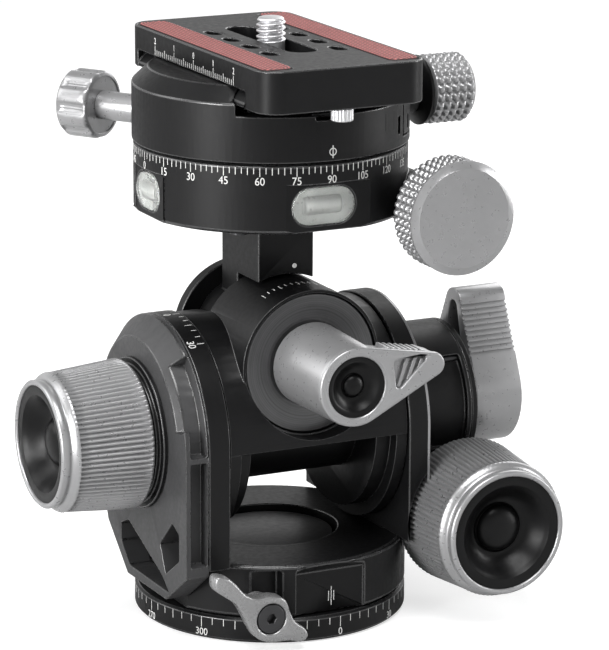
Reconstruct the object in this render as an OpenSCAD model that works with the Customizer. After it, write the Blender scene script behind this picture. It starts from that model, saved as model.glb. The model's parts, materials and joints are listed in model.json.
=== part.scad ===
// Geared tripod head, in millimetres.
// A base with a tripod socket carries a frame that turns on it. A block pitches between the
// frame's two arms, a neck rolls in the block, and a panning clamp stands on the neck.
// The origin is the centre of the base's underside. X points right, Y back and Z up, so the
// pitch axis runs along X, the roll axis along Y and both panning axes along Z.

/* [Base] */
// Radius of the base disc and of the frame plate above it
base_r = 30; // [29.5:0.25:31]
// Thickness of the base disc that carries the lower degree scale
disc_t = 5.5; // [5:0.25:6.5]
// Thickness of the frame plate
frame_t = 11.75; // [11.5:0.25:13]
// Radius of the hub that the frame turns on
hub_r = 12; // [11.5:0.25:12.5]
// Radius of the cap that holds the frame on its hub
cap_r = 13.9; // [13.6:0.1:14.2]
// Radius of the counterbore round that cap
cap_seat_r = 15; // [14.7:0.1:15.5]
// Depth of that counterbore
cap_seat_h = 4.5; // [4:0.25:5]
// Radius of the bore of the tripod socket
socket_r = 4; // [3.2:0.1:4.2]
// Outer radius of the steel bush that the socket is cut in
socket_bush_r = 6.2; // [6:0.1:6.4]
// Depth of the tripod socket
socket_h = 12; // [10:0.5:12]
// Distance from the axis to the flat face at the front of the frame
front_flat = 28; // [27:0.25:28.5]

/* [Base lock] */
// Distance of the lock lever's axis left of the panning axis
lock_x = 15.75; // [15.25:0.25:16.5]
// Height of the lock lever's axis
lock_z = 8.1; // [8:0.1:8.6]
// Radius of the lock lever's hub
lock_hub_r = 4.9; // [4.6:0.1:5.2]
// Thickness of the lock lever's wings
lock_wing_t = 3.3; // [2.5:0.1:4]
// Radius of the lock screw's shank
lock_screw_r = 1.6; // [1.3:0.1:1.7]

/* [Arms] */
// Half of the space between the two arms
arm_in = 21.4; // [21:0.1:22]
// Thickness of an arm plate
arm_t = 5; // [4.5:0.25:5.5]
// Radius of an arm's round head
arm_r = 25.4; // [25:0.1:26]
// Thickness of the truss outside the left arm
truss_t = 5.4; // [5:0.2:6]
// Height of the pitch axis above the frame plate
pitch_rise = 25.2; // [25.2:0.1:27]
// Half of the width of the foot that an arm stands on
foot_half = 13.5; // [12:0.25:13.75]

/* [Pitch gear] */
// Tip radius of the pitch worm wheel
pitch_wheel_r = 13.6; // [13.2:0.1:13.8]
// Width of the pitch worm wheel
pitch_wheel_w = 5.4; // [4:0.2:6]
// Radius of the pitch worm
pitch_worm_r = 7.4; // [7:0.1:7.4]
// Distance of the pitch worm right of the middle
pitch_worm_x = 38.5; // [38.3:0.1:38.9]
// Number of teeth on the pitch and roll worm wheels
gear_teeth = 30; // [24:1:40]
// Wall of the gear housing
housing_wall = 2.8; // [2:0.1:3]
// Distance from the middle to the outer face of the housing's cover
housing_x = 43; // [42.8:0.1:43.5]
// Thickness of the housing's cover
cover_t = 1.5; // [1.2:0.1:1.8]
// Radius of the pitch shaft and of the roll shaft
shaft_r = 6; // [5:0.25:6.5]

/* [Pitch lever] */
// Radius of the collar under the lever
collar_r = 13; // [12:0.25:13.4]
// Radius of the lever's hub
lever_hub_r = 12; // [11:0.25:12.5]
// Radius of the lever's tip
lever_tip_r = 3.7; // [3:0.1:4.2]
// Distance from the pitch axis to the centre of the lever's tip
lever_reach = 20.3; // [19:0.1:22]
// Thickness of the lever along its axis
lever_t = 11.4; // [10:0.2:12]

/* [Block] */
// Radius of the block's upper drum
block_r = 24.9; // [24.4:0.1:24.9]
// Radius of the cheeks inside the end flanges
cheek_r = 22; // [20:0.25:23]
// Radius of the barrel between the cheeks
barrel_r = 13; // [12:0.25:14]
// Radius of the trunnion that turns in the left arm
trunnion_r = 11; // [10:0.25:12]
// Radius of the drum that the roll scale is on
roll_drum_r = 16.2; // [15.9:0.1:16.4]
// Radius of the turned disc in the drum's front
front_disc_r = 15.4; // [14.5:0.1:15.4]
// Distance from the pitch axis to the front of the roll drum
drum_front = 20.5; // [20:0.1:21]

/* [Roll gear] */
// Tip radius of the roll worm wheel
roll_wheel_r = 12.2; // [12:0.1:12.3]
// Radius of the roll worm
roll_worm_r = 4; // [3.8:0.1:4]
// Radius of the worm shafts behind the two large knobs
worm_shaft_r = 3; // [2.5:0.1:3.2]

/* [Large knobs] */
// Radius of a large knob at its back
knob_r = 16.5; // [15:0.25:17]
// Radius of a large knob at its front edge
knob_front_r = 13.8; // [13.3:0.1:14.5]
// Length of a large knob
knob_len = 20.5; // [18:0.5:22]
// Radius of the black cup in a large knob's face
cup_r = 12.7; // [11:0.1:12.8]
// Depth of that cup
cup_h = 7; // [5:0.5:9]
// Distance from the middle to the back of the roll knob
roll_knob_x = 34.5; // [34.4:0.1:36]
// Distance from the middle to the back of the pitch knob
pitch_knob_y = 18.6; // [18.4:0.1:20]

/* [Neck] */
// Width of the neck
neck_w = 13.2; // [11:0.2:14]
// Thickness of the neck's stem
stem_t = 8.1; // [7:0.1:8.5]
// Reach of the neck's overhang in front of the middle
overhang = 7.85; // [6:0.05:9]
// Height of the panning ring above the roll axis
neck_rise = 30.7; // [30.3:0.1:32]
// Radius of the neck's hub in the block
neck_hub_r = 12.3; // [11.5:0.1:12.4]
// Radius of the flange at the neck's top
neck_flange_r = 12; // [11.5:0.25:12.5]

/* [Roll lever] */
// Radius of the roll lever's hub at the disc
roll_hub_r = 9.1; // [8.6:0.1:10]
// Length of the roll lever's hub
roll_hub_len = 21.7; // [20:0.1:23]
// Reach of the roll lever's tip from the roll axis
roll_tip_reach = 18.4; // [16:0.2:19]
// Radius of the roll lever's tip
roll_tip_r = 2.6; // [2:0.1:3]
// Thickness of the roll lever's pointer
pointer_t = 7; // [5:0.25:8]

/* [Panning ring] */
// How far the ring that carries the upper degree scale stands back from the drum
ring_inset = 0.3; // [0:0.1:0.6]
// Height of that ring
ring_h = 14.95; // [14.6:0.05:16]
// How far the flat at the ring's front lies inside its round wall
flat_inset = 1.7; // [1.1:0.1:1.9]
// Height of the band that carries the scale
scale_h = 4.55; // [4:0.05:5]
// Length of the front spirit level
front_vial_w = 14.6; // [10:0.2:15]
// Length of the side spirit level
side_vial_w = 12; // [9:0.2:13]
// Height of both spirit levels
vial_h = 7.9; // [6:0.1:8]
// Tip radius of the pan worm wheel
pan_wheel_r = 23.1; // [22.6:0.1:23.1]
// Number of teeth on the pan worm wheel
pan_teeth = 60; // [40:1:72]
// Radius of the pan worm
pan_worm_r = 3; // [2.6:0.1:3]
// Height of the pan worm above the ring's underside
pan_worm_rise = 2.2; // [2.1:0.1:2.6]
// Radius of the pan worm's shaft
pan_shaft_r = 1.75; // [1.4:0.05:2]
// Radius of the pan knob
pan_knob_r = 12.3; // [11:0.1:12.3]
// Length of the pan knob
pan_knob_len = 10.4; // [9:0.2:12]

/* [Clamp] */
// Radius of the turning drum under the clamp
drum_r = 30; // [29.7:0.1:30.3]
// Height of the drum's body
drum_h = 9.9; // [9.6:0.1:11]
// Distance from the axis to the split before the moving jaw
split_x = 21; // [20.5:0.1:21.5]
// Travel of the moving jaw
jaw_travel = 4; // [2:0.5:4]
// Radius of the clamp knob
clamp_knob_r = 7.7; // [7:0.1:7.7]
// Length of the clamp knob
clamp_knob_len = 8; // [6:0.5:10]
// Radius of the clamp screw
clamp_screw_r = 2.5; // [2:0.1:2.6]
// Height of the clamp screw above the drum's underside
clamp_screw_rise = 7.3; // [7.1:0.1:7.3]
// Radius of the jaw's guide pins
guide_r = 2; // [1.5:0.1:2.2]
// Direction of the pan lock knob, in degrees from the left towards the back
pan_lock_turn = 57; // [40:1:65]
// Radius of the pan lock knob's head
pan_lock_r = 7.6; // [6:0.1:8]
// Length of that head
pan_lock_len = 8; // [6:0.5:10]
// Distance from the axis to the back of that head
pan_lock_reach = 43.4; // [40:0.2:46]

/* [Camera plate] */
// Width of the camera plate
plate_w = 38.3; // [38:0.1:39]
// Length of the camera plate
plate_len = 70; // [68:1:76]
// Distance from the plate's middle to the axis, towards the front
plate_shift = 2; // [1:0.5:3]
// Thickness of the camera plate
plate_t = 9; // [8.4:0.1:10]
// Length of the full-width block at the front of the plate
front_block = 9.5; // [8:0.5:9.5]
// Length of the full-width block at the back of the plate
rear_block = 5.5; // [4:0.5:5.5]
// Width of the dovetail at its widest
dovetail_w = 38; // [37.6:0.1:38]
// Width of the dovetail's neck
dovetail_neck = 34; // [33:0.1:34.4]
// Height of the plate's underside above the drum's body
plate_rise = 2.3; // [2.2:0.1:3]
// Corner radius of the plate
plate_corner = 5; // [3:0.5:7]
// Radius of the camera screw's thread
camera_screw_r = 3.15; // [2.5:0.05:3.3]
// Height of the camera screw above the plate
camera_screw_h = 4.8; // [4:0.1:6]
// Length of the plate's middle slot
slot_len = 36; // [30:1:40]
// Width of a grip strip
grip_w = 7; // [5:0.25:7.5]

/* [Clearances] */
// Radial clearance of a shaft or a pin that turns or slides in its bore
fit = 0.05; // [0.02:0.01:0.08]
// Gap between flat faces that turn or slide past each other
seam = 0.25; // [0.2:0.05:0.35]
// Gap between other parts that move past each other
slack = 0.3; // [0.3:0.05:0.4]
// Gap between the tips of a worm and of its wheel
mesh_gap = 0.4; // [0.3:0.05:0.5]

/* [Hidden] */
$fn = 72;
eps = 0.01;
edge = 0.6;
black = "#232427";
satin = "#8d8e90";
cup_black = "#101012";
steel = "#b9bbbd";
bronze = "#a8834a";
glass = "#c9d6c8";
salmon = "#b35f58";

// Heights, from the base up
frame_z0 = disc_t + seam;
frame_z1 = frame_z0 + frame_t;
cap_floor = frame_z1 - cap_seat_h;
hub_z1 = cap_floor + seam;
cap_z1 = frame_z1 - slack;
pitch_z = frame_z1 + pitch_rise;
roll_z = pitch_z + roll_wheel_r + roll_worm_r + mesh_gap;
ring_z0 = roll_z + neck_rise;
ring_z1 = ring_z0 + ring_h;
drum_z0 = ring_z1 + seam;
drum_z1 = drum_z0 + drum_h;
plate_z0 = drum_z1 + plate_rise;
plate_z1 = plate_z0 + plate_t;

// Arms, truss and gear housing
arm_x1 = arm_in + arm_t;
truss_x = arm_x1 + truss_t;
foot_h = 6;
arm_screw_r = 1.75;
arm_head_r = 2.6;
arm_screw_y = 8.5;
arm_screw_z = frame_z1 - foot_h / 2;
trunnion_wall = 2;
pitch_worm_z = pitch_z - pitch_wheel_r - pitch_worm_r - mesh_gap;
cavity_r = pitch_wheel_r + 2 * slack;
housing_r = cavity_r + housing_wall;
housing_floor = 2.5;
worm_cavity_r = pitch_worm_r + mesh_gap;
worm_barrel_r = worm_cavity_r + 1.2;
cover_x0 = housing_x - cover_t;
wheel_x0 = pitch_worm_x - pitch_wheel_w / 2;
wheel_x1 = pitch_worm_x + pitch_wheel_w / 2;
barrel_y0 = -18;
barrel_y1 = 14;
worm_half = 11;
end_cap_t = 1.8;
housing_screw_at = (cavity_r + housing_r) / 2;
housing_screw_r = 0.75;
housing_screw_turns = [45, 125, 235, 315];
seat_ring_t = 2.2;

// Pitch block
block_x = arm_in - slack;
flange_w = 2.6;
cheek_w = 3.5;
cheek_x = block_x - flange_w - cheek_w;
chin = 0.4;
recess_r = front_disc_r + 0.4;
disc_seat = 18;
disc_t_front = 2;
disc_play = 0.1;
slot_y0 = 1;
slot_y1 = 13.5;
slot_r = neck_hub_r + 0.7;
swing_r = roll_drum_r + 0.7;
rear_cap_t = 3;
rear_cap_r = 16;
cap_screw_r = 0.9;
cap_screw_at = (slot_r + rear_cap_r) / 2;
roll_cavity_r = roll_wheel_r + mesh_gap;
roll_wheel_w = 5;
roll_worm_half = 9.5;
roll_worm_bore = roll_worm_r + slack;
worm_end = 12.5;
pitch_shaft_x0 = 14.5;
trunnion_x = truss_x - slack;

// Levers and knobs
collar_x0 = housing_x + slack;
collar_t = 2;
lever_x0 = collar_x0 + collar_t + seam;
stud_r = shaft_r - 2;
stud_len = 8.5;
roll_hub_y = drum_front - 0.5 + slack;
roll_face = roll_hub_y + roll_hub_len;
roll_stud_y = roll_hub_y + 15.5;
roll_face_r = roll_hub_r - 0.6;
roll_cup_r = 6.6;
roll_cup_h = 3;
tip_rise = 9;
rib_start = knob_r - 1.5;

// Neck, ring and drum
hub_y0 = slot_y0 + slack;
hub_y1 = slot_y1 - slack;
stem_y = 2.8;
neck_flange_h = 3.5;
neck_screw_r = 1.25;
neck_head_r = neck_screw_r + 0.75;
neck_screw_x = neck_w / 2 + neck_head_r + 0.3;
neck_screw_y = 3;
spindle_r = 3.9;
retainer_r = 5.5;
retainer_t = 1.5;
post_r = neck_flange_r;
floor_t = 1.2;
ring_bore = pan_wheel_r + 0.45;
spigot_r = ring_bore - fit;
wheel_z0 = ring_z0 + floor_t + slack;
spigot_z0 = ring_z0 + 7;
post_z1 = spigot_z0 - 0.5;
pan_worm_x = pan_wheel_r + pan_worm_r + mesh_gap;
pan_worm_z = ring_z0 + pan_worm_rise;
pan_worm_half = 6;
pan_cavity_r = pan_worm_r + mesh_gap;
boss_r = pan_cavity_r + 2.35;
ring_r = drum_r - ring_inset;
ring_flat = ring_r - flat_inset;
boss_y0 = 1.4 - ring_r;
boss_y1 = 9;
pan_knob_y = -boss_y0 + slack;
vial_depth = 3.4;
vial_play = 0.1;
vial_z = ring_z0 + (ring_h - scale_h) / 2 + 0.25;
side_flat = ring_r - 1.1;
front_vial_x = -1;
side_vial_y = 1;
wheel_screw_at = (post_r + pan_wheel_r) / 2;

// Clamp and plate
slide_gap = 0.15;
pad_z = plate_z0 - slide_gap;
pad_x = 15.5;
pad_y = 21;
lip_h = 1;
neck_h = 3;
under_h = 3.7;
jaw_top = plate_z0 + under_h - slide_gap;
split_z = drum_z0 + 2;
clamp_z = drum_z0 + clamp_screw_rise;
jaw_boss_x = 34;
clamp_collar_len = 4.7;
clamp_knob_x = jaw_boss_x + seam + clamp_collar_len;
guide_y = 11;
guide_z = drum_z0 + 5;
guide_x0 = 8;
guide_x1 = 25.5;
lock_shank_r = 2.2;
lock_stem_r = 3.2;
pan_lock_z = drum_z0 + lock_shank_r + 0.2;
stop_r = 2.4;
stop_h = 2.8;
stop_front = plate_len / 2 + plate_shift - 3;
stop_rear = plate_len / 2 - plate_shift - 3;
stop_play = 4.4;
channel_half = stop_r + 1.4;
washer_r = 7;
washer_t = 0.8;
washer_play = 0.55;
shank_relief = 0.6;
head_t = 1.2;
grip_x = plate_w / 2 - 1 - grip_w;
grip_t = 0.5;

// Point at a distance and an angle from a centre
function polar(c, r, a) = [c[0] + r * cos(a), c[1] + r * sin(a)];

// Point where a line from a point touches a circle, on the side given by turn
function touch(c, r, p, turn) =
    let (d = norm(p - c), a = atan2(p[1] - c[1], p[0] - c[0]))
    polar(c, r, a + turn * acos(r / d));

// Straight round bar along one axis, from one coordinate to the other
module xrod(x0, x1, r) {
    translate([x0, 0, 0]) rotate([0, 90, 0]) cylinder(h = x1 - x0, r = r);
}

module yrod(y0, y1, r) {
    translate([0, y0, 0]) rotate([-90, 0, 0]) cylinder(h = y1 - y0, r = r);
}

module zrod(z0, z1, r) {
    translate([0, 0, z0]) cylinder(h = z1 - z0, r = r);
}

// Round plate with chamfered edges
module zdisc(z0, z1, r, c) {
    rotate_extrude() polygon([[0, z0], [r - c, z0], [r, z0 + c], [r, z1 - c], [r - c, z1], [0, z1]]);
}

// Box between two corners
module block(lo, hi) {
    translate(lo) cube(hi - lo);
}

// Flat shape drawn as [y, z] and raised along X from x0 to x1
module along_x(x0, x1) {
    translate([x0, 0, 0]) rotate([90, 0, 90]) linear_extrude(x1 - x0) children();
}

// Flat shape drawn as [x, z] and raised along Y from y0 to y1
module along_y(y0, y1) {
    translate([0, y1, 0]) rotate([90, 0, 0]) linear_extrude(y1 - y0) children();
}

// Solid of revolution about X, drawn as [radius, x]
module turned_x() {
    rotate([0, 90, 0]) rotate_extrude() children();
}

// Two circles and the straight sides that touch both
module link(p1, r1, p2, r2) {
    a = atan2(p2[1] - p1[1], p2[0] - p1[0]);
    b = acos((r1 - r2) / norm(p2 - p1));
    translate(p1) circle(r1);
    translate(p2) circle(r2);
    polygon([polar(p1, r1, a + b), polar(p1, r1, a - b), polar(p2, r2, a - b), polar(p2, r2, a + b)]);
}

// Rectangle with round corners, centred
module rounded(w, h, r) {
    square([w, h - 2 * r], center = true);
    square([w - 2 * r, h], center = true);
    for (sx = [-1, 1], sy = [-1, 1]) {
        translate([sx * (w / 2 - r), sy * (h / 2 - r)]) circle(r);
    }
}

// Slot with round ends, along X, centred
module stadium(w, h) {
    square([w - h, h], center = true);
    for (s = [-1, 1]) {
        translate([s * (w - h) / 2, 0]) circle(h / 2);
    }
}

// Spur outline of a worm wheel: four points a tooth
module toothed(r, teeth, depth) {
    step = 360 / teeth;
    polygon([for (i = [0:teeth - 1], k = [0:3])
        polar([0, 0], k < 2 ? r : r - depth, i * step + [-0.18, 0.18, 0.36, 0.64][k] * step)]);
}

// Worm along Z from -half to half, its thread drawn as a row of ridges
module worm(half, r, pitch) {
    count = floor(2 * (half - 0.5) / pitch);
    start = -count * pitch / 2;
    root = r - 1;
    rotate_extrude() polygon(concat(
        [[0, -half], [root, -half]],
        [for (i = [0:count - 1], k = [0:3])
            [k == 1 || k == 2 ? r : root, start + (i + [0.1, 0.35, 0.65, 0.9][k]) * pitch]],
        [[root, half], [0, half]]));
}

module at_pitch() {
    translate([0, 0, pitch_z]) children();
}

module at_roll() {
    translate([0, 0, roll_z]) children();
}

module at_pitch_worm() {
    translate([pitch_worm_x, 0, pitch_worm_z]) children();
}

module at_pan_worm() {
    translate([pan_worm_x, 0, pan_worm_z]) children();
}

module at_base_lock() {
    translate([-lock_x, 0, lock_z]) children();
}

// Frame whose Z axis points out along the pan lock knob
module at_pan_lock() {
    translate([0, 0, pan_lock_z]) rotate([0, 0, 180 - pan_lock_turn]) rotate([0, 90, 0]) children();
}

module around(count, r) {
    for (i = [0:count - 1]) {
        rotate([0, 0, 360 * i / count]) translate([r, 0, 0]) children();
    }
}

/* ---------- base ---------- */

hub_screw_at = 9.1;
hub_screw_r = 1.25;
hub_head_r = 2.2;

module base_disc() {
    color(black) difference() {
        zdisc(0, disc_t, base_r, edge);
        zrod(-1, disc_t + 1, socket_bush_r);
        around(3, hub_screw_at) {
            zrod(-1, 2.4, hub_head_r + 0.1);
            zrod(0, disc_t + 1, hub_screw_r);
        }
    }
}

module base_hub() {
    color(black) difference() {
        zrod(disc_t, hub_z1, hub_r);
        zrod(disc_t - 1, socket_h, socket_bush_r);
        around(3, hub_screw_at) zrod(disc_t - 1, hub_z1 + 1, hub_screw_r);
    }
}

module tripod_bush() {
    color(steel) difference() {
        zrod(0, socket_h, socket_bush_r);
        zrod(-1, socket_h + 1, socket_r);
    }
}

module hub_cap() {
    color(black) difference() {
        zdisc(hub_z1, cap_z1, cap_r, 0.4);
        around(3, hub_screw_at) zrod(hub_z1 - 1, cap_z1 - 1.2, hub_screw_r);
    }
}

module hub_screws() {
    color(steel) around(3, hub_screw_at) difference() {
        union() {
            zrod(0.4, 2.4, hub_head_r);
            zrod(2.4 - eps, cap_z1 - 1.2, hub_screw_r);
        }
        translate([0, 0, -1]) cylinder(h = 2.6, r = 1.2, $fn = 6);
    }
}

/* ---------- frame ---------- */

flat_right = 9;
flat_left = 7.5;
flat_top = frame_z1 - 2.3;
pocket_y = 25;
pocket_left = 21.4;
pocket_right = 10.4;
slit_w = 1;

module frame_plate() {
    color(black) difference() {
        intersection() {
            zdisc(frame_z0, frame_z1, base_r, edge);
            block([-arm_x1, -base_r, 0], [arm_x1, base_r, frame_z1]);
        }
        zrod(0, frame_z1 + 1, hub_r + fit);
        zrod(cap_floor, frame_z1 + 1, cap_seat_r);
        pitch_knob_relief();
        for (s = [-1, 1]) {
            mirror([s < 0 ? 1 : 0, 0, 0])
                block([arm_in, -foot_half, frame_z1 - foot_h], [arm_x1 + 1, foot_half, frame_z1 + 1]);
        }
        for (s = [-1, 1], y = [-arm_screw_y, arm_screw_y]) {
            translate([0, y, arm_screw_z]) mirror([s < 0 ? 1 : 0, 0, 0])
                xrod(arm_in - 4, arm_in + 1, arm_screw_r);
        }
        // Flat for the index lines, with a slope above it
        along_x(-flat_left, flat_right) polygon([
            [-base_r - 1, frame_z0 - 1], [-front_flat, frame_z0 - 1], [-front_flat, flat_top],
            [-front_flat - 2.5, frame_z1 + 0.2], [-base_r - 1, frame_z1 + 0.2]]);
        // Pocket behind the lock lever, the lock screw's hole and the slit that it closes
        block([-pocket_left, -base_r - 1, frame_z0 - 1], [-pocket_right, -pocket_y, flat_top + 1]);
        at_base_lock() yrod(-pocket_y - 1, -4, lock_screw_r + fit);
        at_base_lock() yrod(-5, 9, lock_screw_r);
        block([-arm_in + 0.4, -slit_w / 2, 0], [-hub_r + 0.5, slit_w / 2, frame_z1 + 1]);
    }
}

// Room that the pitch knob needs beside the frame
module pitch_knob_relief() {
    at_pitch_worm() yrod(-base_r - 1, -pitch_knob_y + slack, knob_r + 1.5 * slack);
}

// Outline of an arm: round head, straight sides and a foot set into the frame plate
module arm_outline() {
    translate([0, pitch_z]) circle(arm_r);
    translate([-arm_r, frame_z1]) square([2 * arm_r, pitch_rise]);
    translate([-foot_half + seam, frame_z1 - foot_h + eps]) square([2 * (foot_half - seam), foot_h]);
}

module arm(bore) {
    difference() {
        along_x(arm_in, arm_x1) arm_outline();
        at_pitch() xrod(arm_in - 1, arm_x1 + 1, bore);
        for (y = [-arm_screw_y, arm_screw_y]) {
            translate([0, y, arm_screw_z]) {
                xrod(arm_in - 1, arm_x1 + 1, arm_screw_r);
                xrod(arm_x1 - 2, arm_x1 + 1, arm_head_r);
            }
        }
    }
}

module left_arm() {
    color(black) mirror([1, 0, 0]) arm(trunnion_r + fit + trunnion_wall);
}

module right_arm() {
    color(black) difference() {
        arm(shaft_r + fit + trunnion_wall);
        pitch_knob_relief();
    }
}

module arm_screws() {
    color(steel) for (s = [0, 1], y = [-arm_screw_y, arm_screw_y]) {
        mirror([s, 0, 0]) translate([0, y, arm_screw_z]) difference() {
            union() {
                xrod(arm_in - 3.8, arm_x1 - 1, arm_screw_r);
                xrod(arm_x1 - 2 + eps, arm_x1 - 0.1, arm_head_r - 0.1);
            }
            translate([arm_x1 - 1.2, 0, 0]) rotate([0, 90, 0]) cylinder(h = 3, r = 1.5, $fn = 6);
        }
    }
}

module trunnion_bushes() {
    color(bronze) at_pitch() {
        difference() {
            xrod(-arm_x1, -arm_in, trunnion_r + fit + trunnion_wall);
            xrod(-arm_x1 - 1, -arm_in + 1, trunnion_r + fit);
        }
        difference() {
            xrod(arm_in, arm_x1, shaft_r + fit + trunnion_wall);
            xrod(arm_in - 1, arm_x1 + 1, shaft_r + fit);
        }
    }
}

// Lower outline of the truss, as [y, z] from the front to the back
truss_toe = [-14.5, frame_z0 + 3.1];
truss_heel = [6.2, frame_z0 + 2.9];
truss_back = [16.8, frame_z1 + 0.5];
truss_chin = [-arm_r, frame_z1 - 0.9];
back_inset = 0.3;
strip_w = 3.7;
strip_depth = 3;
head_bevel = 4.2;
bevel_drop = 4.5;
bevel_slope = bevel_drop / head_bevel;

module truss_outline() {
    hub = [0, pitch_z];
    translate(hub) circle(arm_r);
    polygon([[-arm_r, pitch_z], truss_chin, truss_toe, truss_heel, truss_back,
        touch(hub, arm_r - back_inset, truss_back, 1), hub]);
}

// The three windows of the truss: front, lower and back
module truss_windows() {
    polygon([[-21.4, frame_z1 + 2], [-14.4, frame_z1 - 2.8], [-11.6, frame_z1 + 3.2],
        [-18, frame_z1 + 9.4], [-21.4, frame_z1 + 7.9]]);
    polygon([[-16, frame_z0 + 5.2], [5, frame_z0 + 5.2], [9.6, frame_z1 - 2.2], [9.6, frame_z1 + 1.8],
        [5.6, frame_z1 + 3.6], [-12.4, frame_z0 + 8]]);
    polygon([[12.2, frame_z1 + 4.2], [7, frame_z1 + 6.6], [5.4, frame_z1 + 10.8], [14.8, frame_z1 + 10.8]]);
}

module truss_arm() {
    color(black) difference() {
        along_x(-truss_x, -arm_x1) truss_outline();
        at_pitch() xrod(-truss_x - 1, -arm_x1 + 1, trunnion_r + 0.5);
        along_x(-truss_x - 1, -arm_x1 + 1) truss_windows();
        // Pockets in the front strip: one straight, one that follows the round head
        block([-arm_x1 - 0.5 - strip_w, -arm_r - 1, frame_z1 + 1.4],
            [-arm_x1 - 0.5, -arm_r + strip_depth, pitch_z - 1]);
        at_pitch() intersection() {
            difference() {
                xrod(-arm_x1 - 0.5 - strip_w, -arm_x1 - 0.5, arm_r + 1);
                xrod(-truss_x, -arm_x1, arm_r - strip_depth);
            }
            along_x(-truss_x, -arm_x1) polygon([[0, 0], [-40, 0.6], [-40, 40], [-24, 31]]);
        }
        // Bevel round the head's outer edge
        at_pitch() intersection() {
            turned_x() polygon([[arm_r - bevel_drop - bevel_slope, -truss_x - 1], [arm_r + 3, -truss_x - 1],
                [arm_r + 3, -truss_x + head_bevel + 1], [arm_r + bevel_slope, -truss_x + head_bevel + 1]]);
            along_x(-truss_x - 2, -arm_x1) polygon([[-40, 10], [40, -10], [40, 40], [-40, 40]]);
        }
    }
}

module knob_seat_ring() {
    color(black) at_pitch() difference() {
        union() {
            xrod(-truss_x - seat_ring_t / 2, -truss_x, knob_r);
            xrod(-truss_x - seat_ring_t, -truss_x, knob_r - 1.5);
        }
        xrod(-truss_x - seat_ring_t - 1, -truss_x + 1, worm_shaft_r + 1);
    }
}

module housing_holes(x0) {
    at_pitch() for (a = housing_screw_turns) {
        rotate([a, 0, 0]) translate([0, 0, housing_screw_at]) xrod(x0, housing_x + 1, housing_screw_r);
    }
}

module gear_housing() {
    color(black) difference() {
        union() {
            at_pitch() xrod(arm_x1, cover_x0, housing_r);
            block([arm_x1 + 3, -12.5, pitch_worm_z], [cover_x0, 12.5, pitch_z - 4]);
            at_pitch_worm() yrod(barrel_y0, barrel_y1, worm_barrel_r);
        }
        at_pitch() xrod(arm_x1 + housing_floor, housing_x + 6, cavity_r);
        at_pitch() xrod(arm_x1 - 1, arm_x1 + housing_floor + 1, shaft_r + slack);
        at_pitch_worm() yrod(-worm_half - 0.5, barrel_y1 + 1, worm_cavity_r);
        at_pitch_worm() yrod(barrel_y0 - 1, 0, worm_shaft_r + fit);
        // Shallow pocket at the front of the housing, above its lower edge
        at_pitch() intersection() {
            difference() {
                xrod(arm_x1 + 1.5, cover_x0 - 1.2, housing_r + 1);
                xrod(arm_x1, cover_x0, housing_r - 1.2);
            }
            block([arm_x1, -housing_r - 2, -8], [cover_x0, 0, 12]);
        }
        housing_holes(cover_x0 - 5);
    }
}

module housing_cover() {
    color(black) difference() {
        at_pitch() xrod(cover_x0, housing_x, housing_r);
        at_pitch() xrod(cover_x0 - 1, housing_x + 1, shaft_r + slack);
        at_pitch_worm() yrod(-housing_r, housing_r, worm_barrel_r + eps);
        housing_holes(cover_x0 - 5);
    }
}

module housing_screws() {
    color(steel) at_pitch() for (a = housing_screw_turns) {
        rotate([a, 0, 0]) translate([0, 0, housing_screw_at]) {
            xrod(cover_x0 - 4.5, housing_x - 0.1, housing_screw_r);
        }
    }
}

module worm_end_cap() {
    color(black) at_pitch_worm() difference() {
        yrod(barrel_y1 - end_cap_t, barrel_y1, worm_cavity_r);
        yrod(barrel_y1 - end_cap_t - 1, barrel_y1 - 0.5, worm_shaft_r + fit);
    }
}

/* ---------- base lock ---------- */

wing_tip = [-11.4, 6.9];
lobe_tip = [6.6, -3.9];
wing_y1 = -base_r - slack;
wing_y0 = wing_y1 - lock_wing_t;

module base_lock_lever() {
    color(satin) at_base_lock() difference() {
        union() {
            yrod(wing_y0 - 0.4, wing_y1, lock_hub_r);
            yrod(wing_y1 - eps, -pocket_y - seam, lock_z - disc_t - slack);
            along_y(wing_y0, wing_y1) link([0, 0], lock_hub_r - 0.4, wing_tip, 2.9);
            along_y(wing_y0 + 0.2, wing_y1) link(lobe_tip / 4, lock_hub_r - 1.4, lobe_tip, 2.4);
        }
        yrod(wing_y0 - 1, -pocket_y, lock_screw_r);
        yrod(wing_y0 - 2, wing_y0 + 1.6, 3.3);
    }
}

module base_lock_screw() {
    color(steel) at_base_lock() difference() {
        union() {
            yrod(wing_y0 - 0.2, wing_y0 + 1.6, 3.2);
            yrod(wing_y0 + 1.5, -2, lock_screw_r);
        }
        translate([0, wing_y0 - 1, 0]) rotate([-90, 0, 0]) cylinder(h = 2, r = 1.6, $fn = 6);
    }
}

/* ---------- pitch block ---------- */

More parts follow.
